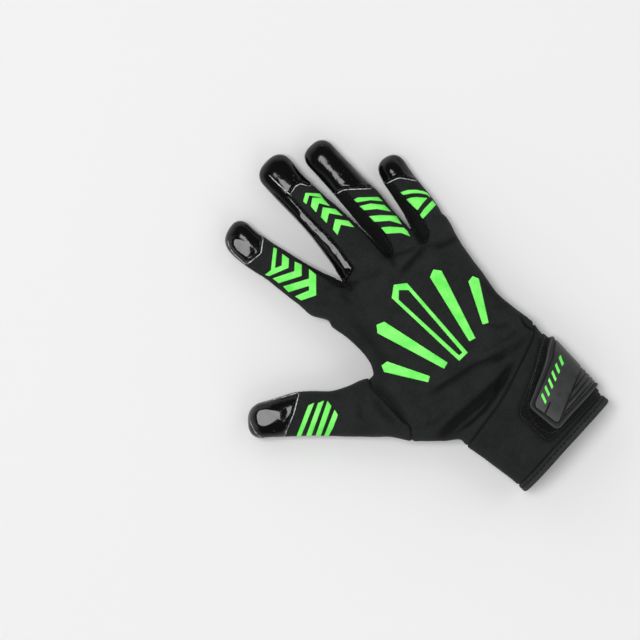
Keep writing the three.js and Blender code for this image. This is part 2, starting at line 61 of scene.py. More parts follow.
# y, left, right, top of the hand and cuff
BODY = np.array([
    (-118.0, -25.5, 47.4, 31.4), (-107.95, -25.8, 47.2, 31.0), (-95.95, -27.3, 46.7, 30.1),
    (-79.15, -30.0, 47.0, 28.2), (-65.7, -32.3, 47.1, 26.0), (-59.95, -32.5, 47.0, 25.9),
    (-53.9, -40.0, 46.7, 25.9), (-46.75, -48.0, 46.5, 26.5), (-37.95, -55.0, 47.3, 27.0),
    (-30.25, -55.5, 46.3, 27.3), (-20.35, -52.0, 45.3, 27.5), (-10.45, -48.0, 45.0, 27.5),
    (0.55, -44.5, 46.4, 27.3), (10.45, -39.5, 47.4, 27.0), (20.35, -38.0, 48.8, 26.5),
    (30.25, -38.7, 50.7, 25.6), (40.15, -40.5, 53.2, 24.0), (50.05, -42.0, 54.7, 21.6),
])
BODY_END, WEB = 50.05, 9.0

# root x and y, turn towards the thumb in degrees, length, then rows of along, side, width, height
FINGERS = {
    "index": (-30.5, 42.0, 9.4, 87.0, [
        (0, 2.4, 22, 20.8), (7.8, 2.8, 24, 20.8), (16.2, 1.3, 26.6, 19.8), (25.2, 0.6, 24.2, 18.2),
        (33.4, 0, 22.8, 17.3), (48.7, -0.2, 20.6, 16.3), (64, -1.2, 20.4, 15.4), (74, -1.4, 20.4, 14.4),
        (87, 0.4, 19.6, 13.4)]),
    "middle": (-1.5, 42.0, -0.9, 99.5, [
        (0, 0, 24, 19.2), (8, -0.6, 29, 21.8), (15.9, -0.9, 29.6, 20.2), (27.9, -0.2, 27, 18.6),
        (37.8, 0, 25.2, 17.9), (47.8, 0, 23.6, 17.3), (60.7, -0.3, 22.3, 16.5), (77.6, -0.6, 21.3, 15.7),
        (87.6, -0.2, 22, 14.7), (99.5, 0, 22, 13.8)]),
    "ring": (22.75, 42.0, -1.8, 87.9, [
        (0, 0, 20, 20.8), (7.8, -0.1, 20, 21.1), (27.8, 0.3, 20, 18.1), (40, 0.8, 20.6, 17.3),
        (58.3, 0.8, 19.4, 16), (77.4, 0.6, 19.7, 14.4), (87.9, 0.6, 19.9, 13.4)]),
    "pinky": (43.0, 42.0, -10.3, 52.3, [
        (0, -1.2, 19.4, 19.2), (8.2, 0.1, 19.6, 19.2), (18.5, 0.7, 19, 17), (28.3, 0.6, 18, 15.7),
        (38.6, 0.5, 17.6, 14.4), (52.3, 0.9, 17.2, 13.1)]),
    "thumb": (-40.0, -24.0, 52.7, 98.0, [
        (0, 0, 40.3, 24.5), (6.4, 0, 39.8, 24.3), (14.7, 0.8, 36.9, 23.4), (24.5, 0.8, 34.7, 22),
        (35.3, 0.1, 30.4, 20.2), (47, 0.4, 27, 18.7), (65.7, 2.2, 27.1, 17.6), (84.3, 1.3, 22.4, 16.2),
        (98, 0.3, 20.8, 15.1)]),
}


def smooth_rows(rows, at):
    """Columns of a table at the places at, on a smooth curve through its rows."""
    rows = np.asarray(rows, float)
    a, v = rows[:, 0], rows[:, 1:]
    up, down = np.minimum(np.arange(len(a)) + 1, len(a) - 1), np.maximum(np.arange(len(a)) - 1, 0)
    slope = (v[up] - v[down]) / (a[up] - a[down])[:, None]
    at = np.clip(at, a[0], a[-1])
    i = np.clip(np.searchsorted(a, at, side="right") - 1, 0, len(a) - 2)
    span = (a[i + 1] - a[i])[..., None]
    t = (at - a[i])[..., None] / span
    out = (v[i] * (1 + 2 * t) * (1 - t) ** 2 + slope[i] * span * t * (1 - t) ** 2
           + v[i + 1] * t * t * (3 - 2 * t) + slope[i + 1] * span * t * t * (t - 1))
    return [out[..., k] for k in range(v.shape[1])]


def line_at(points, x):
    return smooth_rows(points, x)[0]


def finger_frame(name):
    """A finger's root, and the directions along it and across it, in plan."""
    x, y, turn = FINGERS[name][:3]
    t = math.radians(turn)
    return np.array([x, y]), np.array([-math.sin(t), math.cos(t)]), np.array([math.cos(t), math.sin(t)])


def to_finger(name, x, y):
    root, travel, across = finger_frame(name)
    dx, dy = x - root[0], y - root[1]
    return dx * travel[0] + dy * travel[1], dx * across[0] + dy * across[1]


def from_finger(name, rows):
    root, travel, across = finger_frame(name)
    return [tuple(root + a * travel + s * across) for a, s in rows]


def smoothstep(a, b, x):
    t = np.clip((x - a) / (b - a), 0, 1)
    return t * t * (3 - 2 * t)


def smooth_min(a, b, k):
    h = np.clip(0.5 + 0.5 * (b - a) / k, 0, 1)
    return b * (1 - h) + a * h - k * h * (1 - h)


def unit(vectors):
    return vectors / np.maximum(np.linalg.norm(vectors, axis=1, keepdims=True), 1e-9)


# Mesh tools: v holds points, f the numbers of each triangle's corners.

def half_edges(f):
    return np.concatenate([f[:, [0, 1]], f[:, [1, 2]], f[:, [2, 0]]])


def open_edges(f):
    e = half_edges(f)
    _, index, count = np.unique(np.sort(e, 1), axis=0, return_index=True, return_counts=True)
    return e[index[count == 1]]


def relax(v, f, times, fixed=None):
    """Smooths a mesh without shrinking it: each pass draws points together and then lets them back out."""
    e = np.unique(np.sort(half_edges(f), 1), axis=0)
    count = np.bincount(e.ravel(), minlength=len(v))[:, None]
    for w in (0.5, -0.52) * times:
        s = np.zeros_like(v)
        for k in range(3):
            for a, b in (e.T, e.T[::-1]):
                s[:, k] += np.bincount(a, v[b, k], len(v))
        move = w * (s / np.maximum(count, 1) - v)
        if fixed is not None:
            move[fixed] = 0
        v = v + move
    return v


def refine(v, f):
    """Splits every triangle into four."""
    es, back = np.unique(np.sort(half_edges(f), 1), axis=0, return_inverse=True)
    m = back.reshape(3, -1).T + len(v)
    v = np.concatenate([v, (v[es[:, 0]] + v[es[:, 1]]) / 2])
    a, b, c = f.T
    corners = [np.stack([a, m[:, 0], m[:, 2]], 1), np.stack([m[:, 0], b, m[:, 1]], 1),
               np.stack([m[:, 2], m[:, 1], c], 1)]
    return v, np.concatenate([*corners, m])


def normals_of(v, f):
    fn = np.cross(v[f[:, 1]] - v[f[:, 0]], v[f[:, 2]] - v[f[:, 0]])
    n = np.zeros_like(v)
    for k, c in itertools.product(range(3), range(3)):
        n[:, k] += np.bincount(f[:, c], fn[:, k], len(v))
    return unit(n)


def part_of(v, f, keep, extra=()):
    """The faces to keep, with their own points and each point's extra values."""
    f = f[keep]
    used = np.unique(f)
    back = -np.ones(len(v), np.int64)
    back[used] = np.arange(len(used))
    return v[used], back[f], [a[used] for a in extra]


def split(v, f, s, extra=()):
    """Cuts every triangle that crosses s = 0, so that no triangle has corners on both sides."""
    s = np.where(np.abs(s) < 0.04, 0.0, s)
    sign = np.sign(s[f])
    mixed = (sign.min(1) < 0) & (sign.max(1) > 0)
    g = f[mixed]
    if not len(g):
        return v, f, list(extra)
    sg = np.sign(s[g])
    e = half_edges(g)
    cross = s[e[:, 0]] * s[e[:, 1]] < 0
    es, back = np.unique(np.sort(e[cross], 1), axis=0, return_inverse=True)
    t = s[es[:, 0]] / (s[es[:, 0]] - s[es[:, 1]])
    mid = -np.ones(len(e), np.int64)
    mid[cross] = len(v) + back.ravel()
    mid = mid.reshape(3, -1).T

    def mix(a):
        w = t[:, None] if a.ndim > 1 else t
        return np.concatenate([a, a[es[:, 0]] * (1 - w) + a[es[:, 1]] * w])

    new = []
    for i in range(3):
        j, k = (i + 1) % 3, (i + 2) % 3
        lone = (sg[:, i] * sg[:, j] < 0) & (sg[:, i] * sg[:, k] < 0)
        a, b, c = g[lone, i], g[lone, j], g[lone, k]
        p, q = mid[lone, i], mid[lone, k]
        new += [np.stack([a, p, q], 1), np.stack([p, b, c], 1), np.stack([p, c, q], 1)]
        half = sg[:, i] == 0
        a, b, c, p = g[half, i], g[half, j], g[half, k], mid[half, j]
        new += [np.stack([a, b, p], 1), np.stack([a, p, c], 1)]
    return mix(v), np.concatenate([f[~mixed]] + new), [mix(x) for x in extra]


def cut_out(v, f, n, field, margin, finer):
    """The part of a mesh where field(x, y, z) is negative, with its normals and the field at its points."""
    s = field(*v.T)
    v, f, (n, s) = part_of(v, f, s[f].min(1) < margin, (n, s))
    if finer:
        v, f = refine(v, f)
        n, s = normals_of(v, f), field(*v.T)
    v, f, (n, s) = split(v, f, s, (n, s))
    v, f, (n, s) = part_of(v, f, s[f].mean(1) < 0, (n, s))
    return v, f, n, s


def shell(v, f, n, thickness):
    """Gives an open skin a wall: the same skin inside, and a strip round its edge."""
    rim = open_edges(f)
    m = len(v)
    sides = np.concatenate([np.stack([rim[:, 1], rim[:, 0], rim[:, 0] + m], 1),
                            np.stack([rim[:, 1], rim[:, 0] + m, rim[:, 1] + m], 1)])
    inner = v - n * np.broadcast_to(thickness, len(v))[:, None]
    return np.concatenate([v, inner]), np.concatenate([f, f[:, ::-1] + m, sides])


def tube_faces(grid, capped=True):
    """Faces of a tube. grid holds the numbers of its points, a row for each ring round it."""
    a, d = grid[:-1], grid[1:]
    b, c = np.roll(a, -1, 1), np.roll(d, -1, 1)
    faces = [np.stack(corners, -1).reshape(-1, 3) for corners in ((a, d, c), (a, c, b))]
    if capped:
        first, last = grid[0], grid[-1]
        for k in range(1, grid.shape[1] - 1):
            faces.append(np.array([[first[0], first[k + 1], first[k]], [last[0], last[k], last[k + 1]]]))
    return np.concatenate(faces)


def add_mesh(name, v, f, material, replaces=None, crease=0, painted_darkening=None):
    """A piece of the glove. Edges sharper than crease degrees stay sharp; the last argument is how dark each
    point is painted, mostly as painted shade.
    """
    me = bpy.data.meshes.new(name)
    me.vertices.add(len(v))
    me.vertices.foreach_set("co", (v * MM).astype(np.float32).ravel())
    me.loops.add(len(f) * 3)
    me.loops.foreach_set("vertex_index", f.astype(np.int32).ravel())
    me.polygons.add(len(f))
    me.polygons.foreach_set("loop_start", np.arange(0, len(f) * 3, 3, dtype=np.int32))
    me.update(calc_edges=True)
    me.validate()
    me.shade_smooth()
    if painted_darkening is not None:
        me.attributes.new("painted_darkening", "FLOAT", "POINT").data.foreach_set("value", painted_darkening.astype(np.float32))
    if crease:
        me.set_sharp_from_angle(angle=math.radians(crease))
    o = bpy.data.objects.new(name, me)
    bpy.context.scene.collection.objects.link(o)
    me.materials.append(material)
    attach(o, "root")
    if replaces:
        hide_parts(replaces)


# Distances in plan

def to_segment(a, b, x, y):
    """The share along a segment of the point nearest to each place, and the way from there to the place."""
    ab = b - a
    t = np.clip(((x - a[0]) * ab[0] + (y - a[1]) * ab[1]) / (ab @ ab), 0, 1)
    return t, x - a[0] - t * ab[0], y - a[1] - t * ab[1]


def polygon_distance(points, x, y):
    """Signed distance to a polygon, negative inside."""
    p = np.asarray(points, float)
    d = np.full(len(x), 1e9)
    inside = np.zeros(len(x), bool)
    for a, b in zip(p, np.roll(p, -1, 0)):
        d = np.minimum(d, np.hypot(*to_segment(a, b, x, y)[1:]))
        with np.errstate(divide="ignore", invalid="ignore"):
            inside ^= ((a[1] > y) != (b[1] > y)) & (x < (b[0] - a[0]) * (y - a[1]) / (b[1] - a[1]) + a[0])
    return np.where(inside, -d, d)


def nearest_of(polygons, x, y):
    return np.min([polygon_distance(p, x, y) for p in polygons], axis=0)


def along_path(points, x, y):
    """Distance to a path, the side it is on (positive to the left), and the share of its length."""
    p = np.asarray(points, float)
    lengths = np.hypot(*np.diff(p, axis=0).T)
    start = np.concatenate([[0], np.cumsum(lengths)])
    best = np.full(len(x), 1e9)
    side, share = np.zeros(len(x)), np.zeros(len(x))
    for k, (a, b) in enumerate(zip(p, p[1:])):
        t, dx, dy = to_segment(a, b, x, y)
        d = np.hypot(dx, dy)
        m = d < best
        best[m] = d[m]
        side[m] = np.sign((b[0] - a[0]) * dy - (b[1] - a[1]) * dx)[m]
        share[m] = ((start[k] + t * lengths[k]) / start[-1])[m]
    return best, side, share


rng = np.random.default_rng(11)
LATTICE = rng.random((32, 32, 32)) * 2 - 1


def noise(p, scale, seed=0):
    """Smooth random values from -1 to 1 at points, with features about scale wide."""
    q = p / scale + seed * 7.31
    i = np.floor(q).astype(int)
    t = q - i
    t = t * t * (3 - 2 * t)
    out = 0
    for corner in itertools.product((0, 1), repeat=3):
        wx, wy, wz = (t[:, k] if c else 1 - t[:, k] for k, c in enumerate(corner))
        out = out + wx * wy * wz * LATTICE[tuple((i + corner).T % 32)]
    return out


# The glove's skin

def loft_field(side, z, half_w, top, past, round_len):
    """About how far a point is outside a section on the surface; past is how far it is beyond an end."""
    half_h = (top + DIP) / 2
    v = z - (top - DIP) / 2
    r = (np.abs(side / half_w) ** ROUND + np.abs(v / half_h) ** ROUND
         + np.abs(past / round_len) ** ROUND) ** (1 / ROUND)
    p = np.sqrt(side ** 2 + v ** 2 + past ** 2)
    return (p - p / np.maximum(r, 1e-3)).astype(np.float32)


def finger_field(name, along, side, z):
    length, rows = FINGERS[name][3:]
    shift, width, height = smooth_rows(rows, along)
    tip = THUMB_TIP if name == "thumb" else FINGER_TIP
    beyond = np.maximum(along - (length - tip), 0)
    before = np.maximum(-along, 0)
    past = np.where(beyond > 0, beyond / tip, before / FINGER_ROOT)[:, :, None]
    height = (height - TIP_DROP * (beyond / tip) ** 2)[:, :, None]
    return loft_field((side - shift)[:, :, None], z, (width / 2)[:, :, None], height, past * tip, tip)


def make_skin():
    """The whole glove's skin: hand and cuff in one loft, with the fingers and the thumb joined to it."""
    low, high = np.array(GRID_LOW), np.array(GRID_HIGH)
    n = np.ceil((high - low) / PITCH).astype(int) + 1
    gx, gy, gz = (low[k] + PITCH * np.arange(n[k]) for k in range(3))
    gz = gz[None, None, :]
    left, right, top = (c[None, :, None] for c in smooth_rows(BODY, gy))
    past = np.maximum(gy - (BODY_END - WEB), 0)[None, :, None]
    body = loft_field(gx[:, None, None] - (left + right) / 2, gz, (right - left) / 2, top, past, WEB)
    hands = np.full(body.shape, 40.0, np.float32)
    for name in FINGERS:
        along, side = to_finger(name, gx[:, None], gy[None, :])
        near = (along > -14) & (along < FINGERS[name][3] + 6) & (np.abs(side) < 30)
        ix, iy = np.nonzero(near.any(1))[0], np.nonzero(near.any(0))[0]
        cut = np.s_[ix[0]:ix[-1] + 1, iy[0]:iy[-1] + 1]
        hands[cut] = np.minimum(hands[cut], finger_field(name, along[cut], side[cut], gz))
    whole = smooth_min(body, hands, JOIN)
    whole = -smooth_min(-whole, gz * np.ones_like(whole), FLOOR_JOIN)
    grid = vdb.FloatGrid()
    grid.copyFromArray(np.ascontiguousarray(whole.astype(np.float32)))
    points, tris, quads = grid.convertToPolygons(isovalue=0.0, adaptivity=0.0)
    v = points.astype(float) * PITCH + low
    return v, np.concatenate([tris, quads[:, [0, 1, 2]], quads[:, [0, 2, 3]]]).astype(np.int64)


# Folds of the cloth: path, depth, width on the left and right of it. A negative depth is a ridge.
FOLDS = [
    ([(-46, -50), (-23.5, -50.5), (-7.2, -51.5), (7.9, -52), (28, -47)], 2.3, 5.0, 2.4),
    ([(-44, -45), (-20, -46), (10, -47), (36, -41)], -0.8, 3.0, 2.4),
    ([(-34, -54.5), (-21.2, -56.4), (-10, -56.6), (-0.2, -55.1), (8.2, -50.8), (20, -47.5)], 1.5, 1.0, 1.5),
    ([(-31.3, -23.3), (-25.5, -27.2), (-10.3, -30.2), (4.4, -32.7), (19.6, -38.9), (38, -41)],
     1.15, 1.4, 2.8),
    ([(-14, -26), (2, -29), (18, -34.5), (34, -38.2)], -0.45, 2.2, 2.2),
    ([(8, -29), (22, -34), (42, -37.2)], 0.65, 1.2, 1.9),
    ([(10, -39), (24, -43), (40, -43)], 0.8, 1.6, 2.0),
    ([(25.8, -20.4), (31.1, -27.1), (39, -31)], 0.6, 1.3, 2.2),
    ([(35.5, -15.9), (40, -19), (47, -23.5)], 0.6, 1.6, 2.4),
    ([(17.8, 7.7), (22.6, 3.8)], 0.3, 1.0, 1.4),
    ([(9.6, 36.7), (18.8, 37.4), (34.5, 38.2)], 1.2, 1.7, 2.6),
    ([(52, 27.7), (44, 30), (38.4, 32.3), (34.5, 37.1)], 1.0, 2.0, 2.2),
    ([(8.9, 50.2), (17, 46.6), (24.1, 42.9), (32, 41.2)], 0.9, 1.2, 1.8),
    ([(34.5, 49), (33.8, 44), (33.4, 39)], 1.8, 2.2, 2.2),
    ([(-17.5, 58), (-15, 53), (-9, 49)], 0.9, 1.8, 1.8),
    ([(-19, 57), (-23, 50), (-24, 42)], 0.6, 2.0, 2.4),
    ([(-9, 50), (0, 46.5), (6, 47)], 0.5, 1.6, 2.0),
    ([(12.7, 54), (13, 47), (10.5, 41)], 1.0, 1.8, 1.8),
    ([(-48.2, 3), (-47.4, -11.4), (-49.3, -26.6), (-50, -33)], 1.1, 2.6, 1.0),
    ([(-44.6, 1), (-43.8, -11), (-45.6, -26)], 0.4, 1.4, 1.4),
    ([(-52, -4), (-55, -16), (-54, -28)], 0.7, 2.4, 2.4),
    ([(-29.4, 41), (-30.2, 25.2), (-31.6, 10.5), (-35.1, -4)], 0.7, 4.0, 3.0),
    ([(-62, -2), (-68, -10)], 0.6, 2.2, 2.2),
    ([(42.5, -20), (41, -8), (42.5, 4)], 0.7, 2.5, 3.5),
    ([(44, -44), (42.4, -38), (43.6, -31)], 1.6, 1.0, 1.2),
    ([(46.4, -30), (46.6, -38), (46.2, -46)], -0.9, 1.2, 1.2),
    ([(-44, -38), (-34, -42), (-22, -43)], 0.6, 2.4, 2.6),
    ([(-30, 62), (-24, 59.5), (-19, 60.5)], 0.5, 1.6, 1.6),
    ([(-40, 60), (-34, 55), (-28, 54)], 0.4, 2.0, 2.0),
    ([(33, 68), (38, 63.5)], 0.5, 1.2, 1.2),
    ([(44, 47), (50, 46), (56, 48)], 0.4, 1.6, 1.6),
]


def press_folds(v):
    """The skin with its folds pressed in, how uneven its cloth is, and how deep each point was pressed."""
    x, y, z = v.T
    push = np.zeros(len(v))
    for path, depth, left, right in FOLDS:
        low, high = np.min(path, 0) - 12, np.max(path, 0) + 12
        near = (x > low[0]) & (x < high[0]) & (y > low[1]) & (y < high[1])
        d, side, share = along_path(path, x[near], y[near])
        ends = smoothstep(0, 0.22, share) * smoothstep(0, 0.3, 1 - share) * 0.85 + 0.15
        push[near] += depth * ends * np.exp(-(d / np.where(side > 0, left, right)) ** 2)
    hand = smoothstep(-66, -58, y)
    soft = (0.55 * noise(v * [1, 0.6, 1], 16, 1) + 0.28 * noise(v * [1, 0.7, 1], 7, 2)) * (0.35 + 0.65 * hand)
    pressed = push * smoothstep(SEAM_Z - 2, 17, z)
    v = v.copy()
    v[:, 2] -= pressed
    return v, soft * smoothstep(1, 5, z), pressed


# Seams in plan: the wrist's, the hem binding's upper edge, and the thumb's
WRIST = [(-75, -66.2), (-32.6, -65.4), (-20, -63.3), (-5.2, -60.9), (5.2, -58.5), (20, -53.5), (34.8, -48.4),
         (43, -45), (48.8, -40), (100, -39)]
HEM = [(-75, -104.8), (-26, -104.1), (11, -101.5), (47.4, -99.8), (100, -99.3)]
BINDING = 5.2
SLIT_Z, SLIT_HALF, SLIT_X = 11.0, 1.25, 37.0  # the cuff's slit on the little finger's side
THUMB = [(-45.9, 50), (-45.9, 5.5), (-49, 0), (-49.5, -15), (-49, -33), (-54, -40.5), (-300, -40.5),
         (-300, 50)]
CAPS = {
    "index": [(104, -24), (67, -24), (65.7, -11.4), (62.6, -0.4), (66.6, 7.2), (67.8, 24), (104, 24)],
    "middle": [(120, -6), (74.1, -6), (76.4, 2), (75.6, 5.6), (71.1, 8.4), (69.6, 12.4), (120, 12.4)],
    "ring": [(104, -12.4), (56.5, -12.4), (54.8, -3.6), (44.4, 9.4), (43.5, 15), (104, 15)],
    "pinky": [(62, -12), (39, -12), (38.6, -5.2), (37.6, 0.6), (30, 9), (27.8, 24), (62, 24)],
    "thumb": [(118, -31), (78.4, -31), (76, -7.8), (70, 3.1), (65.2, 15.6), (64.2, 31), (118, 31)],
}
WRAP = [(16.4, -6), (37.8, -3.6), (57.7, -4.4), (75.6, -4), (109, -4), (109, -14), (40, -16), (14, -15.2)]
GUSSETS = {
    "gusset_index": from_finger("index", [(13.9, 11.2), (34.8, 10.2), (71.3, 8.2), (71.3, 16)])
    + from_finger("middle", [(40, -18.4), (11.4, -17.2)]),
    "gusset_middle_ring": [
        (11.8, 49.2), (13, 47.5), (15.9, 48.9), (18.6, 53), (20.3, 61), (20.7, 75), (20.9, 88), (21.2, 98),
        (13.2, 100), (12.7, 88), (12.6, 70), (11.7, 57)],
    "gusset_ring_pinky": [
        (33, 44), (32.6, 41), (34.5, 39.7), (38, 41), (40.4, 43.2), (42.4, 49), (43.2, 54), (43.9, 62),
        (44.4, 72), (44.9, 82), (38.6, 84), (37.3, 75), (35.9, 62), (34.6, 50)],
}

# The loop patch in plan
LOOP = [(2.8, -76.0), (3.5, -73.2), (5.8, -71.0), (18, -65.0), (29.6, -59.3), (38.8, -53.9), (46, -49.2),
        (60, -42), (60, -96.7), (30, -96.9), (13.2, -96.9), (6.8, -96.8), (4.8, -95.6), (4.0, -93.5)]

CAP_OUTLINES = {name: from_finger(name, rows) for name, rows in CAPS.items()}
WRAP_OUTLINE = from_finger("middle", WRAP)


def slit_distance(x, y, z):
    """Distance to the slit in the cuff's side, which narrows towards the wrist's seam."""
    half = SLIT_HALF * np.sqrt(np.clip((line_at(WRIST, x) - 1.5 - y) / 6, 0, 1))
    return np.maximum(np.abs(z - SLIT_Z) - half, SLIT_X - x)


def fields(v):
    """About how far points are from each seam, negative on the side that the seam is named for."""
    x, y, z = v.T
    palm_ends = [outline for name, outline in CAP_OUTLINES.items() if name != "thumb"] + [WRAP_OUTLINE]
    out = {
        "end": y - (line_at(HEM, x) - BINDING),
        "hem": y - line_at(HEM, x),
        "wrist": y - line_at(WRIST, x),
        "thumb": polygon_distance(THUMB, x, y),
        "thumb_cap": polygon_distance(CAP_OUTLINES["thumb"], x, y),
        "palm": np.minimum(nearest_of(palm_ends, x, y), z - SEAM_Z),
        "low": z - SEAM_Z,
        "slit": slit_distance(x, y, z),
    }
    for name, outline in GUSSETS.items():
        out[name] = polygon_distance(outline, x, y)
    return out


skin_v, skin_f = make_skin()
skin_v = relax(skin_v, skin_f, 4)
skin_v, soft, pressed = press_folds(skin_v)
skin_v = skin_v + normals_of(skin_v, skin_f) * soft[:, None]
skin_v[:, 2] = np.maximum(skin_v[:, 2], LOWEST)
plain_v, plain_f = skin_v, skin_f  # kept whole for the strap

# Seams of the hand stop above the cuff, and the thumb's cap is cut on the thumb alone.
CUFF_TOP, THUMB_RIGHT, FAR = -70, -60, 9.0
for name in fields(skin_v[:1]):
    s = fields(skin_v)[name]
    if name in ("palm", "low", "thumb", "thumb_cap", *GUSSETS):
        s = np.where(skin_v[:, 1] < CUFF_TOP, FAR, s)
    if name == "thumb_cap":
        s = np.where(skin_v[:, 0] > THUMB_RIGHT, FAR, s)
    skin_v, skin_f, (pressed,) = split(skin_v, skin_f, s, (pressed,))

centre = skin_v[skin_f].mean(1)
at = fields(centre)
label = np.full(len(skin_f), "back_panel", dtype=object)
for name in GUSSETS:
    label[at[name] < 0] = name
label[at["palm"] < 0] = "palm"
on_thumb = at["thumb"] < 0
label[on_thumb] = "thumb_back"
label[on_thumb & (np.minimum(at["low"], at["thumb_cap"]) < 0)] = "thumb_palm"
label[at["wrist"] < 0] = "cuff"
label[at["hem"] < 0] = "hem_binding"
label[(at["end"] < 0) | (at["slit"] < 0)] = "cut_off"


def seam_distance(v, f, codes):
    """How far each point is from the nearest seam, which is where faces of different codes meet."""
    low, high = np.full(len(v), 99), np.full(len(v), -1)
    for c in range(3):
        np.minimum.at(low, f[:, c], codes)
        np.maximum.at(high, f[:, c], codes)
    on_seam = v[low != high]
    tree = KDTree(len(on_seam))
    for i, p in enumerate(on_seam):
        tree.insert(p, i)
    tree.balance()
    return np.array([tree.find(p)[2] for p in v])


# Where two panels meet, both are drawn in towards the stitching.
normals = normals_of(skin_v, skin_f)
seam_d = seam_distance(skin_v, skin_f, np.unique(label, return_inverse=True)[1])
x, y, z = skin_v.T
wrap_d = -polygon_distance(WRAP_OUTLINE, x, y)
on_wrap = (wrap_d > 0) & (y > 52) & (y < 116) & (z > SEAM_Z + 2) & (x < 6)
tuck = (0.75 * np.exp(-(seam_d / np.where(on_wrap, 0.5, 0.8)) ** 2)
        - np.where(on_wrap, 0, 0.18) * np.exp(-((seam_d - 2.2) / 1.1) ** 2))
skin_v = skin_v - normals * (tuck * smoothstep(0.3, 2.0, z))[:, None]


def wrap_ridge(v):
    """The coated panel along the middle finger stands up in a puckered ridge beside its seam."""
    from_root = smoothstep(50, 58, y)
    ridge = (0.10 + 0.035 * wrap_d + 0.0043 * wrap_d ** 2) * wrap_d * (0.56 + 0.5 * smoothstep(62, 102, y))
    ridge *= (1 - smoothstep(4.1, 7.2, wrap_d)) * (wrap_d > 0) * from_root
    ridge *= (1 - smoothstep(102, 110, y)) * (x < 6)
    uneven = 0.12 * noise(v, 4.5, 4) + 0.10 * noise(v, 2.2, 6)
    return ridge + uneven * np.exp(-((wrap_d - 3.0) / 1.8) ** 2) * from_root * (x < 6)


# Where a cap lies flat and mirrors the lamp overhead: finger, middle along and beside it, half the length and
# width, tilt in x and y
FLAT_PLACES = [("index", 74.0, -4.6, 10.5, 4.8, -0.117, 0.031),
               ("thumb", 88.0, 2.9, 10.0, 7.0, -0.052, 0.096)]
CROWNS = {"middle": 0.010, "ring": 0.010, "pinky": 0.03}


def cap_forms(v):
    """How far the caps' points go up, and how far out, where the coating swells, lies flat and puckers."""
    over_seam = smoothstep(SEAM_Z, 12, z)
    pucker = smoothstep(0.6, 3.0, -nearest_of(CAP_OUTLINES.values(), x, y)) * over_seam
    pucker *= 0.24 * noise(v, 6.5, 8) + 0.03 * noise(v, 2.6, 9)
    along, side = to_finger("thumb", x, y)
    level = smoothstep(66, 79, along) * (1 - smoothstep(90, 99, along))
    level *= (np.abs(side) < 16) * smoothstep(8, 13, z)
    for name, a, b, long, wide, tilt_x, tilt_y in FLAT_PLACES:
        along, side = to_finger(name, x, y)
        r = np.hypot((along - a) / long, (side - b) / wide)
        sloped = z + level + tilt_x * x + tilt_y * y
        middle = sloped[(r < 0.45) & (z > 10)].mean()
        flat = (1 - smoothstep(0.65, 1.0, r)) * smoothstep(8, 11, z)
        level += flat * np.clip(middle - sloped, -0.6, 0.8)
        pucker *= 1 - 0.35 * flat
    for name, crown in CROWNS.items():
        side = to_finger(name, x, y)[1]
        inside = smoothstep(0.0, 3.0, -polygon_distance(CAP_OUTLINES[name], x, y)) * over_seam
        pucker += crown * inside * (16 - np.minimum(side ** 2, 36))
    return level, pucker


level, pucker = cap_forms(skin_v)
skin_v = skin_v + np.array([0, 0, 1.0]) * (wrap_ridge(skin_v) + level)[:, None] + normals * pucker[:, None]

# Painted shade: the folds, the grooves of the seams and the cuff in the recess round the loop patch are
# painted darker.
patch_recess_shade = np.exp(-(np.maximum(polygon_distance(LOOP, x, y), 0) / 1.9) ** 2)
patch_recess_shade *= (x < 44) * (y < -46) * (z > 12)
painted_darkening = np.clip(np.maximum(pressed / 1.3, 0) + 0.9 * np.exp(-(seam_d / 0.75) ** 2) + 0.75 * patch_recess_shade, 0, 1)


# Materials

def material(name, base, rough, **inputs):
    mat = bpy.data.materials.new(name)
    mat.use_nodes = True
    b = mat.node_tree.nodes["Principled BSDF"]
    b.inputs["Base Color"].default_value = (*base, 1)
    b.inputs["Roughness"].default_value = rough
    for k, value in inputs.items():
        b.inputs[k.replace("_", " ")].default_value = value
    return mat


class Shade:
    """Adds textures to a material, in the object's own coordinates."""

    def __init__(self, mat):
        self.t = mat.node_tree
        self.b = self.t.nodes["Principled BSDF"]
        self.at = self.t.nodes.new("ShaderNodeTexCoord").outputs["Object"]

    def node(self, kind, inputs=None, **props):
        n = self.t.nodes.new("ShaderNode" + kind)
        for k, value in props.items():
            setattr(n, k, value)
        for k, value in (inputs or {}).items():
            if hasattr(value, "is_output"):
                self.t.links.new(value, n.inputs[k])
            else:
                n.inputs[k].default_value = value
        return n

    def noise(self, size, detail=3.0, rough=0.55):
        """Noise from 0 to 1 with features about size millimetres wide."""
        return self.node("TexNoise", {"Vector": self.at, "Scale": 1000 / size, "Detail": detail,
                                      "Roughness": rough}).outputs["Fac"]

    def cells(self, size):
        return self.node("TexVoronoi", {"Vector": self.at, "Scale": 1000 / size}).outputs["Distance"]

    def remap(self, value, low, high, to_low=0.0, to_high=1.0):
        return self.node("MapRange", {"Value": value, "From Min": low, "From Max": high, "To Min": to_low,
                                      "To Max": to_high}).outputs["Result"]

    def mix(self, fac, a, b):
        a, b = ((*c, 1) if isinstance(c, tuple) else c for c in (a, b))
        return self.node("Mix", {"Factor": fac, 6: a, 7: b}, data_type="RGBA").outputs[2]

    def colour(self, value):
        self.t.links.new(value, self.b.inputs["Base Color"])

    def rough(self, value):
        self.t.links.new(value, self.b.inputs["Roughness"])

    def bumps(self, *layers):
        """Stacks bumps of (height 0 to 1, size in millimetres)."""
        last = None
        for height, depth in layers:
            n = self.node("Bump", {"Height": height, "Distance": depth * MM, "Strength": 1.0})
            if last:
                self.t.links.new(last, n.inputs["Normal"])
            last = n.outputs["Normal"]
        self.t.links.new(last, self.b.inputs["Normal"])


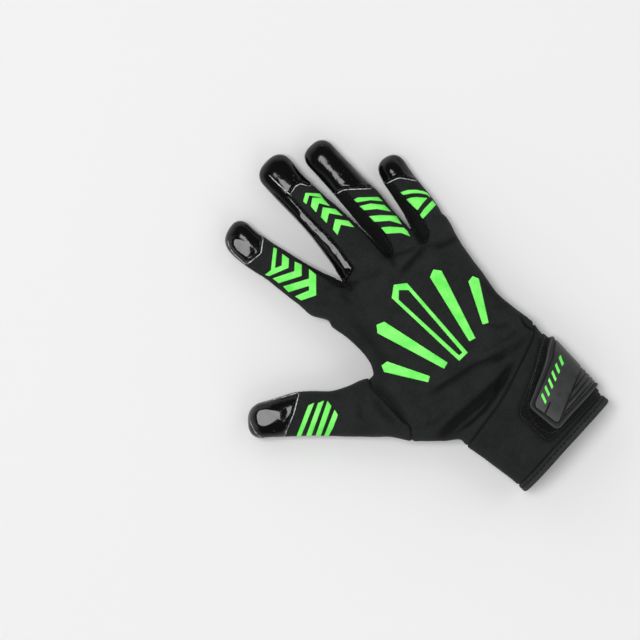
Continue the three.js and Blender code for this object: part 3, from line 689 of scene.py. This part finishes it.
def fabric(name, dark, light, grain=0.75, depth=0.10, rough=0.8, sheen=0.04, painted_darkening_amount=0.0):
    """Cloth with a fine grain, blotches of two shades, and painted darkening where the mesh says so, which is
    painted shade in folds, seams and recesses.
    """
    mat = material(name, dark, rough, Sheen_Weight=sheen, Sheen_Roughness=0.4, Specular_IOR_Level=0.12)
    s = Shade(mat)
    fine, wide = s.remap(s.noise(1.3, 3, 0.7), 0.4, 0.62), s.remap(s.noise(13, 3), 0.38, 0.62)
    both = s.node("Math", {0: s.remap(fine, 0, 1, 0, 0.55), 1: s.remap(wide, 0, 1, 0, 0.45)}, operation="ADD")
    cloth = s.mix(both.outputs[0], dark, light)
    if painted_darkening_amount:
        painted_darkening_at = s.node("Attribute", attribute_name="painted_darkening").outputs["Fac"]
        cloth = s.mix(s.remap(painted_darkening_at, 0.05, 0.9, 0, painted_darkening_amount), cloth, tuple(0.25 * c for c in dark))
    s.colour(cloth)
    s.bumps((s.cells(grain), depth), (s.noise(0.35, 2), depth * 0.5), (s.noise(3.2, 3), 0.12))
    return mat


BLACK = (0.0112, 0.0120, 0.0119)


def shade(k):
    return tuple(k * c for c in BLACK)


back_cloth = fabric("back_fabric", BLACK, shade(1.75), painted_darkening_amount=0.8)
side_cloth = fabric("gusset_fabric", shade(0.2), shade(0.45), grain=0.6, painted_darkening_amount=0.45)
cuff_cloth = fabric("cuff_neoprene", shade(0.95), shade(1.6), grain=0.9, depth=0.07, painted_darkening_amount=0.8)
tape_cloth = fabric("binding_tape", (0.023, 0.024, 0.024), (0.035, 0.036, 0.036), grain=0.5, depth=0.12,
                    painted_darkening_amount=0.35)
strap_cloth = fabric("strap_fabric", shade(1.0), shade(1.8), grain=0.8)
pile_cloth = fabric("loop_pile", shade(0.35), shade(0.9), grain=0.5, depth=0.35, sheen=0.1)
# The rim's pale colour is a painted highlight along its rounded outer edge; away from that edge it is painted
# darker.
rim_cloth = fabric("strap_rim", (0.056, 0.058, 0.057), (0.066, 0.068, 0.067), grain=0.7, depth=0.06,
                   rough=0.6, painted_darkening_amount=0.78)

coating = material("palm_coating", (0.006, 0.006, 0.0065), 0.12, Specular_IOR_Level=0.5, IOR=1.38)
s = Shade(coating)
specks = s.node("Math", {0: s.remap(s.cells(2.3), 0.06, 0.13, 1, 0), 1: s.remap(s.noise(6, 2), 0.46, 0.56)},
                operation="MULTIPLY").outputs[0]
s.colour(s.mix(specks, (0.003, 0.003, 0.0034), (0.15, 0.155, 0.16)))
s.rough(s.remap(s.noise(5, 4), 0.3, 0.7, 0.07, 0.17))
s.bumps((s.noise(0.8, 2, 0.5), 0.010), (s.noise(3.5, 2, 0.5), 0.09))

rubber = material("strap_patch", (0.026, 0.027, 0.027), 0.42, Specular_IOR_Level=0.35)
s = Shade(rubber)
plain = s.mix(s.remap(s.noise(8, 4, 0.6), 0.4, 0.6), (0.021, 0.022, 0.022), (0.034, 0.035, 0.035))
# Painted shade: the grooves are painted darker.
groove_shade = s.node("Attribute", attribute_name="painted_darkening").outputs["Fac"]
s.colour(s.mix(s.remap(groove_shade, 0.2, 0.9, 0, 0.85), plain, (0.005, 0.005, 0.005)))
s.rough(s.remap(s.noise(4, 4), 0.3, 0.7, 0.36, 0.52))
s.bumps((s.noise(0.5, 2), 0.02),)

green = material("green_print", (0.13, 0.90, 0.10), 0.5, Specular_IOR_Level=0.25)
s = Shade(green)
s.colour(s.mix(s.remap(s.noise(9, 4, 0.55), 0.36, 0.64), (0.13, 0.84, 0.095), (0.24, 0.96, 0.17)))
s.bumps((s.cells(0.75), 0.05), (s.noise(2.2, 3), 0.06))

edge_line = material("edge_line", (0.52, 0.54, 0.53), 0.6)
s = Shade(edge_line)
s.colour(s.mix(s.remap(s.noise(2.5, 3), 0.4, 0.55), (0.12, 0.125, 0.125), (0.62, 0.64, 0.63)))
thread = fabric("black_thread", shade(1.2), shade(2.6), grain=0.4, depth=0.05)
dark_thread = fabric("dark_thread", shade(0.3), shade(0.6), grain=0.4, depth=0.05)
grey_thread = fabric("grey_thread", (0.05, 0.055, 0.05), (0.10, 0.11, 0.10), grain=0.4, depth=0.05)


# Panels

def panel(name, material, wall):
    v, f, (n, w) = part_of(skin_v, skin_f, label == name, (normals, painted_darkening))
    sv, sf = shell(v, f, n, wall)
    add_mesh("glove_" + name, sv, sf, material, name, crease=40, painted_darkening=np.concatenate([w, w]))


panel("back_panel", back_cloth, WALL)
panel("palm", coating, WALL)
panel("thumb_back", back_cloth, WALL)
panel("thumb_palm", coating, WALL)
for name in GUSSETS:
    panel(name, side_cloth, WALL)
panel("cuff", cuff_cloth, CUFF_WALL)


# Hem binding: a tape folded round the cuff's edge

TAPE_LOWEST = 0.03  # height of the tape's lowest points
# The middle, half the width and the top of the cuff where the tape starts
HEM_Y, HEM_X, HEM_HALF, HEM_TOP = -104.0, 10.7, 36.5, 31.0
hem_z, hem_half_z = (HEM_TOP - DIP) / 2, (HEM_TOP + DIP) / 2
slit_low = -((hem_z - SLIT_Z - SLIT_HALF) / hem_half_z) ** (ROUND / 2)
slit_high = 2 * math.pi - ((hem_z - SLIT_Z + SLIT_HALF) / hem_half_z) ** (ROUND / 2)
# The tape's section: distance above the cuff's edge, and outwards
TAPE = [(BINDING + 0.1, -0.35), (BINDING - 0.1, 0.2), (BINDING - 0.6, 0.52), (BINDING - 1.1, 0.6),
        (3.65, 0.52), (3.35, 0.36), (3.05, 0.36), (2.7, 0.58), (1.6, 0.84), (0.7, 0.78), (0.12, 0.38),
        (-0.2, -0.4), (-0.3, -1.3), (-0.2, -2.2), (0.1, -2.9), (0.8, -3.3), (2.4, -3.2),
        (BINDING - 0.8, -3.2), (BINDING, -2.7), (BINDING + 0.1, -2.3)]



def section_point(angle, y, out):
    """Points of the cuff's section at an angle round it, moved outwards; its underside is not laid flat here.
    """
    left, right, top = smooth_rows(BODY, y)
    c, s = (np.sign(k) * np.abs(k) ** (2 / ROUND) for k in (np.cos(angle), np.sin(angle)))
    return (left + right) / 2 + ((right - left) / 2 + out) * c, (top - DIP) / 2 + ((top + DIP) / 2 + out) * s


def tape_point(angles, along, out):
    """Points of the tape at a distance above the cuff's edge and outwards, laid flat on the underside."""
    x = section_point(angles, np.full(len(angles), HEM_Y + along), out)[0]
    edge = line_at(HEM, x) - BINDING
    x, z = section_point(angles, edge + along, out)
    return np.stack([x, edge + along, -smooth_min(-z, -max(TAPE_LOWEST, -out), 1.6)], 1)


angles = np.linspace(slit_low, slit_high, 460)
v = np.concatenate([tape_point(angles, along, out) for along, out in TAPE])
f = tube_faces(np.arange(len(v)).reshape(len(TAPE), -1).T)
if np.einsum("ij,ij->", v[f[:, 0]], np.cross(v[f[:, 1]], v[f[:, 2]])) < 0:
    f = f[:, ::-1]
v[:, 2] = np.maximum(v[:, 2], TAPE_LOWEST)
# The tape's band above the stitching is painted darker than its outer edge.
darker_band = np.repeat([float(along > 2.8 and out > 0) for along, out in TAPE], len(angles))
add_mesh("glove_hem_binding", v, f, tape_cloth, "hem_binding", crease=50, painted_darkening=darker_band)


# Strap and what lies on it, drawn on the cuff's skin

STRAP = [(10.4, -77.3), (10.5, -74.4), (11.9, -72.6), (17.8, -70.1), (28.2, -64.9), (37.8, -59.6),
         (44.8, -54.6), (49.2, -52.1), (60, -47.5), (60, -93.5), (50.1, -93.7), (21.4, -94.9), (15.6, -95.6),
         (13.2, -94.9), (12.1, -92.9), (11.5, -88)]
PATCH = [(13.0, -77.6), (13.2, -76.0), (14.6, -74.6), (19.5, -72.5), (30.4, -67.7), (40.6, -62.4),
         (48.2, -56.2), (60, -51.5), (60, -90.8), (47.7, -91.0), (20.4, -92.1), (16.4, -92.3), (15.1, -91.0),
         (14.4, -86)]
STRAP_LOW, STRAP_TOP, RIM_INSET = 1.15, 2.65, 0.35


def grown(points, by):
    """A polygon's outline moved outwards."""
    p = np.asarray(points, float)
    area = np.sum(p[:, 0] * np.roll(p[:, 1], -1) - p[:, 1] * np.roll(p[:, 0], -1))
    ahead = unit(np.roll(p, -1, 0) - p) * np.sign(area)
    n = np.stack([ahead[:, 1], -ahead[:, 0]], 1)
    before = np.roll(n, 1, 0)
    return p + (before + n) * by / (1 + np.sum(before * n, axis=1, keepdims=True))


# The cuff's upper side, smoothed, carries them.
c = plain_v[plain_f].mean(1)
over = (c[:, 0] > -8) & (c[:, 1] < -38) & (c[:, 1] > -104) & (c[:, 2] > 2.5)
base_v, base_f, _ = part_of(plain_v, plain_f, over)
base_v = relax(base_v, base_f, 14, fixed=np.unique(open_edges(base_f)))
base_v, base_f = refine(base_v, base_f)
base_v = relax(base_v, base_f, 2)
base_n = normals_of(base_v, base_f)


def layer(name, field, low, high, material, replaces=None, soft_edge=0.5, relief=None, finer=True,
          painted_shading=None):
    """A sheet where field(x, y) is negative, between two heights over the cuff, with rounded edges."""
    def on_cuff(x, y, z):
        return np.maximum(field(x, y), 5.0 - z)

    v, f, n, s = cut_out(base_v, base_f, base_n, on_cuff, 1.5, finer)
    inside = np.clip(-s / soft_edge, 0, 1)
    top = high - (high - low) * 0.75 * (1 - np.sqrt(1 - (1 - inside) ** 2))
    if relief is not None:
        top = top + relief(v)
    sv, sf = shell(v + n * top[:, None], f, n, top - low)
    # Painted light: how much darker each point is painted.
    dark = None if painted_shading is None else np.tile(painted_shading(v), 2)
    add_mesh(name, sv, sf, material, replaces, crease=50, painted_darkening=dark)


loop_field, strap_field, patch_field = (partial(polygon_distance, p) for p in (LOOP, STRAP, PATCH))


def rim_field(x, y):
    return np.maximum(strap_field(x, y) + RIM_INSET, 0.55 - patch_field(x, y))


# Painted highlight: the rim is painted darker away from its pale outer edge.
def rim_painted_shade(v):
    return smoothstep(0.3, 1.0, -strap_field(v[:, 0], v[:, 1]) - RIM_INSET)


# Grooves of the rubber patch: path, half width. The first one joins the roots of the others.
GROOVES = [
    ([(17.6, -92.5), (26.4, -88.5), (33.9, -85.2), (40.9, -81.9), (46.5, -79.1), (50.2, -76.6)], 0.4),
    ([(26.4, -88.5), (50, -86.2), (62, -85.6)], 0.42), ([(33.9, -85.2), (50, -82.6), (62, -82)], 0.42),
    ([(40.9, -81.9), (50, -79.6), (62, -79)], 0.42), ([(46.5, -79.1), (62, -76)], 0.42),
    ([(21, -91.2), (50, -89.2), (62, -88.8)], 0.36), ([(20.9, -80.8), (13.2, -83.9)], 0.34),
]
GROOVE_DEPTH = 0.6


def patch_relief(v):
    out = np.zeros(len(v))
    for path, half in GROOVES:
        d = along_path(path, v[:, 0], v[:, 1])[0]
        out = np.minimum(out, -GROOVE_DEPTH * (1 - smoothstep(half * 0.5, half * 1.6, d)))
    return out


# Painted shade in the patch's grooves: the deeper the groove, the darker.
def patch_groove_shade(v):
    return patch_relief(v) / -GROOVE_DEPTH


layer("glove_loop_patch", loop_field, -0.3, 0.95, pile_cloth, "loop_patch", finer=False)
layer("glove_strap", strap_field, STRAP_LOW, STRAP_TOP, strap_cloth, "strap", soft_edge=0.8,
      finer=False)
layer("glove_strap_rim", rim_field, STRAP_TOP - 0.3, STRAP_TOP + 0.8, rim_cloth, "strap_rim",
      soft_edge=0.9, painted_shading=rim_painted_shade)
layer("glove_strap_patch", patch_field, STRAP_TOP - 0.3, STRAP_TOP + 0.6, rubber,
      "strap_patch", relief=patch_relief, painted_shading=patch_groove_shade)


# Prints

PRINTS = {
    "index": [[(-48.2, 92.7), (-43.7, 92.2), (-33, 101), (-32.2, 98.8), (-41.1, 91.3), (-37.1, 89.7),
               (-32, 94.6), (-31.1, 89.6), (-35.1, 85.8), (-47, 90.3)],
              [(-46.4, 87.9), (-34, 82), (-29.8, 86), (-28.1, 81.7), (-32.8, 76.8), (-45.8, 83.3)],
              [(-45.2, 80.1), (-30.8, 72.7), (-26.7, 76.9), (-26, 71.4), (-34.7, 62.4), (-43.3, 66.4),
               (-44.3, 70.9), (-35.7, 67.6), (-33.9, 69.5), (-45.3, 75.3)]],
    "middle": [[(-1.2, 108.4), (3.4, 111.1), (9.5, 104.9), (8.9, 101.8), (4, 108.4), (-1.1, 105.7)],
               [(0.1, 103.1), (4.4, 106.2), (8.8, 101.8), (8.5, 95.2), (5, 101), (-0.3, 98)],
               [(0, 94.3), (4.9, 97.7), (9.7, 91.7), (10.1, 85.6), (5.1, 92.5), (-0.2, 89.1)],
               [(-0.1, 83.9), (5.3, 87.5), (10.5, 81), (10.1, 76), (5.4, 82.5), (-0.4, 79.5)]],
    "ring": [[(21.3, 88), (23.9, 87.4), (33.1, 79), (33.4, 75.2), (28.4, 80.8), (21.5, 85.6)],
             [(21.1, 82.9), (27, 79.4), (32.5, 72.9), (32.6, 67.3), (27.5, 74.3), (21.4, 79.1)],
             [(21, 74.6), (26.6, 70.1), (33.2, 63.2), (31.8, 57.4), (28.1, 63.9), (21, 69.8)],
             [(21.4, 64.7), (25.1, 61.9), (31.3, 55.1), (31.5, 52.3), (30.3, 48.6), (27.9, 53.9),
              (21, 59.9)]],
    "pinky": [[(44.5, 71.9), (48.7, 69.8), (52.3, 66.6), (55.2, 62.6), (56.2, 60.2), (55.5, 56.8),
               (55.2, 59.7), (52.8, 63.1), (49.3, 66.4), (44.6, 69.5)],
              [(44.1, 66.3), (47, 65.1), (49.7, 62.9), (53.9, 58.1), (49.4, 57.7), (44.3, 56.9)],
              [(55.1, 55), (55, 51.6), (43, 51), (43.5, 53.9), (47.5, 54.7)]],
    "thumb": [[(-104.7, 8.5), (-83.9, 18.3), (-80.1, 16.9), (-102.8, 6.6)],
              [(-100.6, 4.5), (-78.7, 15.2), (-74.9, 13.8), (-98.4, 2.3)],
              [(-96.5, 0.5), (-73.7, 12.3), (-74.1, 8.4), (-94.3, -1.6)],
              [(-92.7, -2.9), (-74.2, 5.6), (-75.1, 1.8), (-82.5, -1.7), (-91, -4.5)]],
}

# A fan of tapered bars on the back of the hand: turn, inner and outer radius, inner and outer half width
FAN_ROOT = (3.0, -62.0)
FAN = [(30, 48, 75, 1.9, 3.3), (15.5, 42, 87, 2.1, 4.0), (0, 37, 92, 3.6, 6.4), (-15, 42, 87, 2.1, 4.0),
       (-29, 48, 75, 1.9, 3.3)]


def fan_bar(turn, inner, outer, low, high, inset=0.0):
    """A tapered bar with a pointed outer end, or the same shape drawn in by inset."""
    t = math.radians(turn)
    up, across = np.array([-math.sin(t), math.cos(t)]), np.array([math.cos(t), math.sin(t)])
    low, high = low - inset, high - inset
    rows = [(-high, outer - inset * 1.6), (0, outer + high * 0.75 - inset * 1.2), (high, outer - inset * 1.6),
            (low, inner + inset), (-low, inner + inset)]
    return [tuple(np.array(FAN_ROOT) + a * across + b * up) for a, b in rows]


INK_LOW, INK_RISE, INK_EDGE, INK_UNDER = 0.02, 0.14, 0.35, 0.15


def print_on(name, polygons, on, hole=()):
    """Ink on a panel where any of the polygons is, except in the hole."""
    p = np.concatenate(polygons)
    low, high = p.min(0) - 1.5, p.max(0) + 1.5
    near = (label == on) & (centre[:, :2] > low).all(1) & (centre[:, :2] < high).all(1)
    near &= normals[skin_f].mean(1)[:, 2] > 0.05

    def field(x, y, z):
        ink = nearest_of(polygons, x, y)
        return np.maximum(ink, -nearest_of(hole, x, y)) if hole else ink

    v, f, (n,) = part_of(skin_v, skin_f, near, (normals,))
    v, f, n, s = cut_out(v, f, n, field, 1.0, finer=True)
    top = INK_LOW + INK_RISE * np.sqrt(np.clip(-s / INK_EDGE, 0, 1))
    sv, sf = shell(v + n * top[:, None], f, n, top + INK_UNDER)
    add_mesh("glove_print_" + name, sv, sf, green)


for name, polygons in PRINTS.items():
    print_on(name, polygons, "thumb_back" if name == "thumb" else "back_panel")
print_on("fan", [fan_bar(*bar) for bar in FAN], "back_panel", hole=[fan_bar(*FAN[2], inset=2.3)])

# A row of six slanted bars on the strap
BAR, BAR_STEP = np.array([(18, -79.6), (19.9, -78.9), (21.9, -73.4), (20, -74.1)]), np.array([4.4, 1.76])
BARS = [BAR + k * BAR_STEP for k in range(6)]
layer("glove_print_strap", partial(nearest_of, BARS), STRAP_TOP + 0.45, STRAP_TOP + 0.74, green,
      soft_edge=0.3)


# Seams and stitches

YARN = 0.13  # half the thickness of the loops of yarn
OVER_SEAM = SEAM_Z + 0.7
base_tree = BVHTree.FromPolygons(base_v.tolist(), base_f.tolist())
skin_tree = BVHTree.FromPolygons(skin_v.tolist(), skin_f.tolist())


def on_skin(points):
    """The nearest points of the skin, and its normals there."""
    found = [skin_tree.find_nearest(p)[:2] for p in points]
    return np.array([f[0] for f in found]), np.array([f[1] for f in found])


def dropped(tree, points, height=0.0):
    """Points given in plan, dropped onto a skin and lifted by a height, with the normals there."""
    out, up = [], []
    for x, y in points:
        hit, n = tree.ray_cast((x, y, ABOVE), (0, 0, -1))[:2]
        if hit is not None:
            hit, n = np.array(hit), np.array(n)
            out.append(hit + n * height)
            up.append(n)
    return np.array(out), np.array(up)


def distances(points):
    """How far along a path each of its points is."""
    return np.concatenate([[0], np.cumsum(np.linalg.norm(np.diff(points, axis=0), axis=1))])


def even(points, step=0.5):
    """A path smoothed, with points at equal steps."""
    p = np.array(points, float)
    for _ in range(5):
        p[1:-1] = (p[:-2] + 2 * p[1:-1] + p[2:]) / 4
    d = distances(p)
    s = np.linspace(0, d[-1], max(2, int(d[-1] / step) + 1))
    return np.stack([np.interp(s, d, p[:, k]) for k in range(p.shape[1])], 1)


def seam_paths(one, other):
    """The seams over 6 mm long between two groups of panels, as lists of points."""
    e = np.sort(half_edges(skin_f), 1)
    who = np.tile(np.arange(len(skin_f)), 3)
    order = np.lexsort((e[:, 1], e[:, 0]))
    e, who = e[order], who[order]
    same = (e[1:] == e[:-1]).all(1)
    a, b = label[who[:-1][same]], label[who[1:][same]]
    pick = (np.isin(a, one) & np.isin(b, other)) | (np.isin(a, other) & np.isin(b, one))
    links = {}
    for p, q in e[:-1][same][pick].tolist():
        links.setdefault(p, []).append(q)
        links.setdefault(q, []).append(p)
    paths = []
    while any(links.values()):
        at = next((k for k in links if len(links[k]) == 1), None) or next(k for k in links if links[k])
        path = [at]
        while links[at]:
            to = links[at].pop()
            links[to].remove(at)
            path.append(to)
            at = to
        paths.append(even(skin_v[path]))
    return [p for p in paths if len(p) > 12]


def runs(path, keep):
    """The stretches of a path, of more than six points, where keep is true."""
    cuts = np.flatnonzero(keep[1:] != keep[:-1]) + 1
    return [p for p, k in zip(np.split(path, cuts), np.split(keep, cuts)) if k[0] and len(p) > 6]


def beside(path, distance, toward=None):
    """A path on the skin at a distance from another: to its left, or to the side where toward(x, y) falls."""
    p, n = on_skin(path)
    side = unit(np.cross(n, np.gradient(p, axis=0)))
    if toward is not None:
        ahead, behind = p + side * distance, p - side * distance
        if np.mean(toward(ahead[:, 0], ahead[:, 1])) > np.mean(toward(behind[:, 0], behind[:, 1])):
            side = -side
    return on_skin(p + side * distance)


def stitches(name, rows, material, long, half, gap=0.9):
    """Rows of thread. Each row is points along it and the surface's normals there."""
    ring = np.linspace(0, 2 * math.pi, 6, endpoint=False)
    body = [(x, half * math.sqrt(1 - x ** 4)) for x in (-1, -0.8, -0.35, 0.35, 0.8, 1)]
    tv = np.array([(x * long / 2, r * math.cos(a), 0.8 * r * math.sin(a) - 0.16 * x ** 2)
                   for x, r in body for a in ring])
    tf = tube_faces(np.arange(len(tv)).reshape(len(body), -1), capped=False)
    vs, fs = [], []
    for points, normal in rows:
        t = unit(np.gradient(points, axis=0))
        d = distances(points)
        for s in np.arange(long, d[-1] - long / 2, long + gap):
            k = int(np.searchsorted(d, s))
            n = normal[k] / np.linalg.norm(normal[k])
            side = np.cross(n, t[k])
            side /= max(np.linalg.norm(side), 1e-9)
            fs.append(tf + len(tv) * len(vs))
            vs.append(points[k] + n * 0.06 + tv @ np.array([np.cross(side, n), side, n]))
    v = np.concatenate(vs)
    v[:, 2] = np.maximum(v[:, 2], LOWEST)
    add_mesh(name, v, np.concatenate(fs), material)


def ribbons(name, rows, half, rise, ragged):
    """Thin raised lines along paths. Each row is points along it and the surface's normals there."""
    shape = [(-1, -0.6), (-0.85, 0.55), (-0.35, 1.0), (0.35, 1.0), (0.85, 0.55), (1, -0.6)]
    vs, fs, start = [], [], 0
    for points, normal in rows:
        side = unit(np.cross(normal, np.gradient(points, axis=0)))
        m = len(points)
        end = np.minimum(np.minimum(np.arange(m), m - 1 - np.arange(m)) / 4.0, 1)
        wide = (0.15 + 0.85 * np.sqrt(end)) * (1 + ragged * noise(points, 1.7, 3))
        for a, b in shape:
            vs.append(points + side * (a * half * wide)[:, None] + normal * (b * rise * wide)[:, None])
        fs.append(tube_faces(start + np.arange(len(shape) * m).reshape(-1, m).T))
        start += len(shape) * m
    add_mesh(name, np.concatenate(vs), np.concatenate(fs), edge_line)


coated = partial(nearest_of, [*CAP_OUTLINES.values(), WRAP_OUTLINE])
cap_edges, cap_stitches, cloth_stitches = [], [], []
for path in seam_paths(["palm", "thumb_palm"], ["back_panel", "thumb_back", *GUSSETS]):
    high = path[:, 2] > OVER_SEAM
    at_tip = nearest_of(CAP_OUTLINES.values(), path[:, 0], path[:, 1]) < 1.0
    for run in runs(path, high & at_tip & (on_skin(path)[1][:, 2] > 0.35)):
        cap_edges.append(beside(run, 0.25, lambda x, y: -coated(x, y)))
    for run in runs(path, high):
        cap_stitches.append(beside(run, 1.5, coated))
    for run in runs(path, ~high):
        cloth_stitches.append(beside(run, 1.3))

# Short pale lines on the caps of the middle finger and the thumb, and side seams at the tips of the index
# finger and the thumb
CAP_LINES = [[(-3.8, 115.2), (-5.2, 120.3), (-5.4, 127), (-4.9, 134.0)],
             [(-98.1, 36.1), (-92, 31.8), (-87, 29.4), (-83, 28)]]
TIP_SEAMS = [[(-51.2, 124.8), (-54.0, 121.1), (-54.7, 117.5), (-53.7, 114.2), (-53.0, 110.0), (-52.4, 105.1)],
             [(-114.2, 36.6), (-117.5, 33.0), (-118.6, 28.8), (-117.9, 25.0), (-114.3, 21.4), (-110.1, 17.8)]]
cap_edges += [dropped(skin_tree, even(line)) for line in CAP_LINES]
ribbons("glove_cap_edges", cap_edges, half=0.36, rise=0.22, ragged=0.35)
tip_seams = [on_skin(even([(x, y, 11.5) for x, y in line])) for line in TIP_SEAMS]
ribbons("glove_tip_seams", tip_seams, half=0.18, rise=0.16, ragged=0.5)
stitches("glove_cap_stitches", cap_stitches, grey_thread, long=1.0, half=0.15)

cloth_stitches += [beside(path, 1.0) for path in seam_paths(list(GUSSETS), ["back_panel"])]
for path in seam_paths(["thumb_back"], ["back_panel"]):
    cloth_stitches += [beside(path, 1.2), beside(path, -1.2)]
for path in seam_paths(["cuff"], ["back_panel", "palm", "thumb_back", "thumb_palm"]):
    cloth_stitches.append(beside(path, 1.4, lambda x, y: y))
stitches("glove_seam_stitches", cloth_stitches, thread, long=1.7, half=0.17)

points = even(tape_point(np.linspace(slit_low + 0.02, slit_high - 0.02, 900), 3.2, 0.40), 0.4)
radii = np.array([HEM_HALF, 1, hem_half_z])
ups = (points - [HEM_X, 0, hem_z]) * [1, 0, 1]
ups = np.sign(ups) * np.abs(ups / radii) ** (ROUND - 1) / radii
stitches("glove_hem_stitches", [(points, ups)], dark_thread, long=1.9, half=0.42, gap=1.1)

border = grown(LOOP, -1.1)
row = dropped(base_tree, even([*border[-4:], *border[:7]]), 0.95)
stitches("glove_loop_stitches", [row], grey_thread, long=0.9, half=0.15, gap=0.55)

# Small upright loops of yarn, all over the part of the patch that the strap leaves open
gx, gy = np.meshgrid(np.arange(0, 52, 0.86), np.arange(-100, -42, 0.8))
gx = gx + (np.arange(gx.shape[0]) % 2)[:, None] * 0.43
gx, gy = gx.ravel() + rng.uniform(-0.2, 0.2, gx.size), gy.ravel() + rng.uniform(-0.2, 0.2, gx.size)
free = (loop_field(gx, gy) < -1.9) & (strap_field(gx, gy) > -0.2)
bend = np.linspace(0, math.pi, 6)
ring = np.linspace(0, 2 * math.pi, 4, endpoint=False)
vs, fs = [], []
for spot, up in zip(*dropped(base_tree, np.stack([gx[free], gy[free]], 1), 0.9)):
    turn = rng.uniform(0, math.pi)
    high, wide = rng.uniform(0.45, 0.85), rng.uniform(0.28, 0.42)
    ahead = np.array([math.cos(turn), math.sin(turn), 0])
    ahead -= up * (ahead @ up)
    side = np.cross(up, ahead)
    lean = side * rng.uniform(-0.3, 0.3)
    middle = spot + np.outer(-np.cos(bend) * wide, ahead) + np.outer(np.sin(bend) * high, up + lean)
    out = np.outer(-np.cos(bend), ahead) + np.outer(np.sin(bend), up)
    around = np.cos(ring)[:, None] * out[:, None] + np.sin(ring)[:, None] * side
    grid = len(vs) * len(bend) * len(ring) + np.arange(len(bend) * len(ring)).reshape(len(bend), -1)
    vs.append((middle[:, None] + YARN * around).reshape(-1, 3))
    fs.append(tube_faces(grid, capped=False))
add_mesh("glove_pile_loops", np.concatenate(vs), np.concatenate(fs), pile_cloth)


# Studio

CAMERA_TURN = 44  # degrees that the picture is turned against the glove


def link(name, data):
    o = bpy.data.objects.new(name, data)
    bpy.context.scene.collection.objects.link(o)
    return o


def softbox(name, radiance, size, distance, azimuth, elevation):
    """A light facing the glove; azimuth is counter-clockwise from the right of the picture."""
    a, e = math.radians(azimuth - CAMERA_TURN), math.radians(elevation)
    at = distance * Vector((math.cos(a) * math.cos(e), math.sin(a) * math.cos(e), math.sin(e)))
    at += Vector((-0.02, 0.02, 0))
    light = bpy.data.lights.new(name, "AREA")
    light.shape = "RECTANGLE"
    light.size, light.size_y = size
    light.energy = radiance * math.pi * size[0] * size[1]
    o = link(name, light)
    o.location = at
    o.rotation_euler = (Vector((-0.02, 0.02, 0.01)) - at).to_track_quat("-Z", "Y").to_euler()
    return o


FLOOR = 3.0
corners = [(-FLOOR, -FLOOR, 0), (FLOOR, -FLOOR, 0), (FLOOR, FLOOR, 0), (-FLOOR, FLOOR, 0)]
me = bpy.data.meshes.new("floor")
me.from_pydata(corners, [], [(0, 1, 2, 3)])
me.materials.append(material("floor", (0.82, 0.82, 0.82), 0.8, Specular_IOR_Level=0.1))
floor = link("floor", me)
floor.location.z = -0.0003

# An even sky, bright low down
world = bpy.data.worlds.new("studio")
world.use_nodes = True
nodes, links = world.node_tree.nodes, world.node_tree.links
ramp = nodes.new("ShaderNodeMapRange")
for key, value in (("From Min", 0.08), ("From Max", 0.5), ("To Min", 0.9), ("To Max", 0.08)):
    ramp.inputs[key].default_value = value
split_xyz = nodes.new("ShaderNodeSeparateXYZ")
links.new(nodes.new("ShaderNodeTexCoord").outputs["Generated"], split_xyz.inputs[0])
links.new(split_xyz.outputs["Z"], ramp.inputs["Value"])
links.new(ramp.outputs["Result"], nodes["Background"].inputs["Strength"])
nodes["Background"].inputs["Color"].default_value = (1, 1, 1, 1)
bpy.context.scene.world = world
bpy.context.scene.view_settings.view_transform = "Standard"

softbox("overhead", 11.0, (0.85, 0.85), 2.2, 165, 76)
for k, strong in enumerate((1.15, 0.9, 0.85, 1.2)):
    fill = softbox("side_%d" % k, strong, (1.4, 0.9), 1.3, 90 * k + 30, 34)
    fill.visible_glossy = False  # fills the shadows and leaves the coated caps dark

FRAME_WIDTH, HEIGHT, SENSOR = 0.384, 2.0, 36.0
cam = bpy.data.cameras.new("camera")
cam.sensor_width = SENSOR
cam.lens = SENSOR * HEIGHT / FRAME_WIDTH
camera = link("camera", cam)
camera.location = (-0.0433, 0.0502, HEIGHT + 0.015)
camera.rotation_euler = (0, 0, -math.radians(CAMERA_TURN))
bpy.context.scene.camera = camera
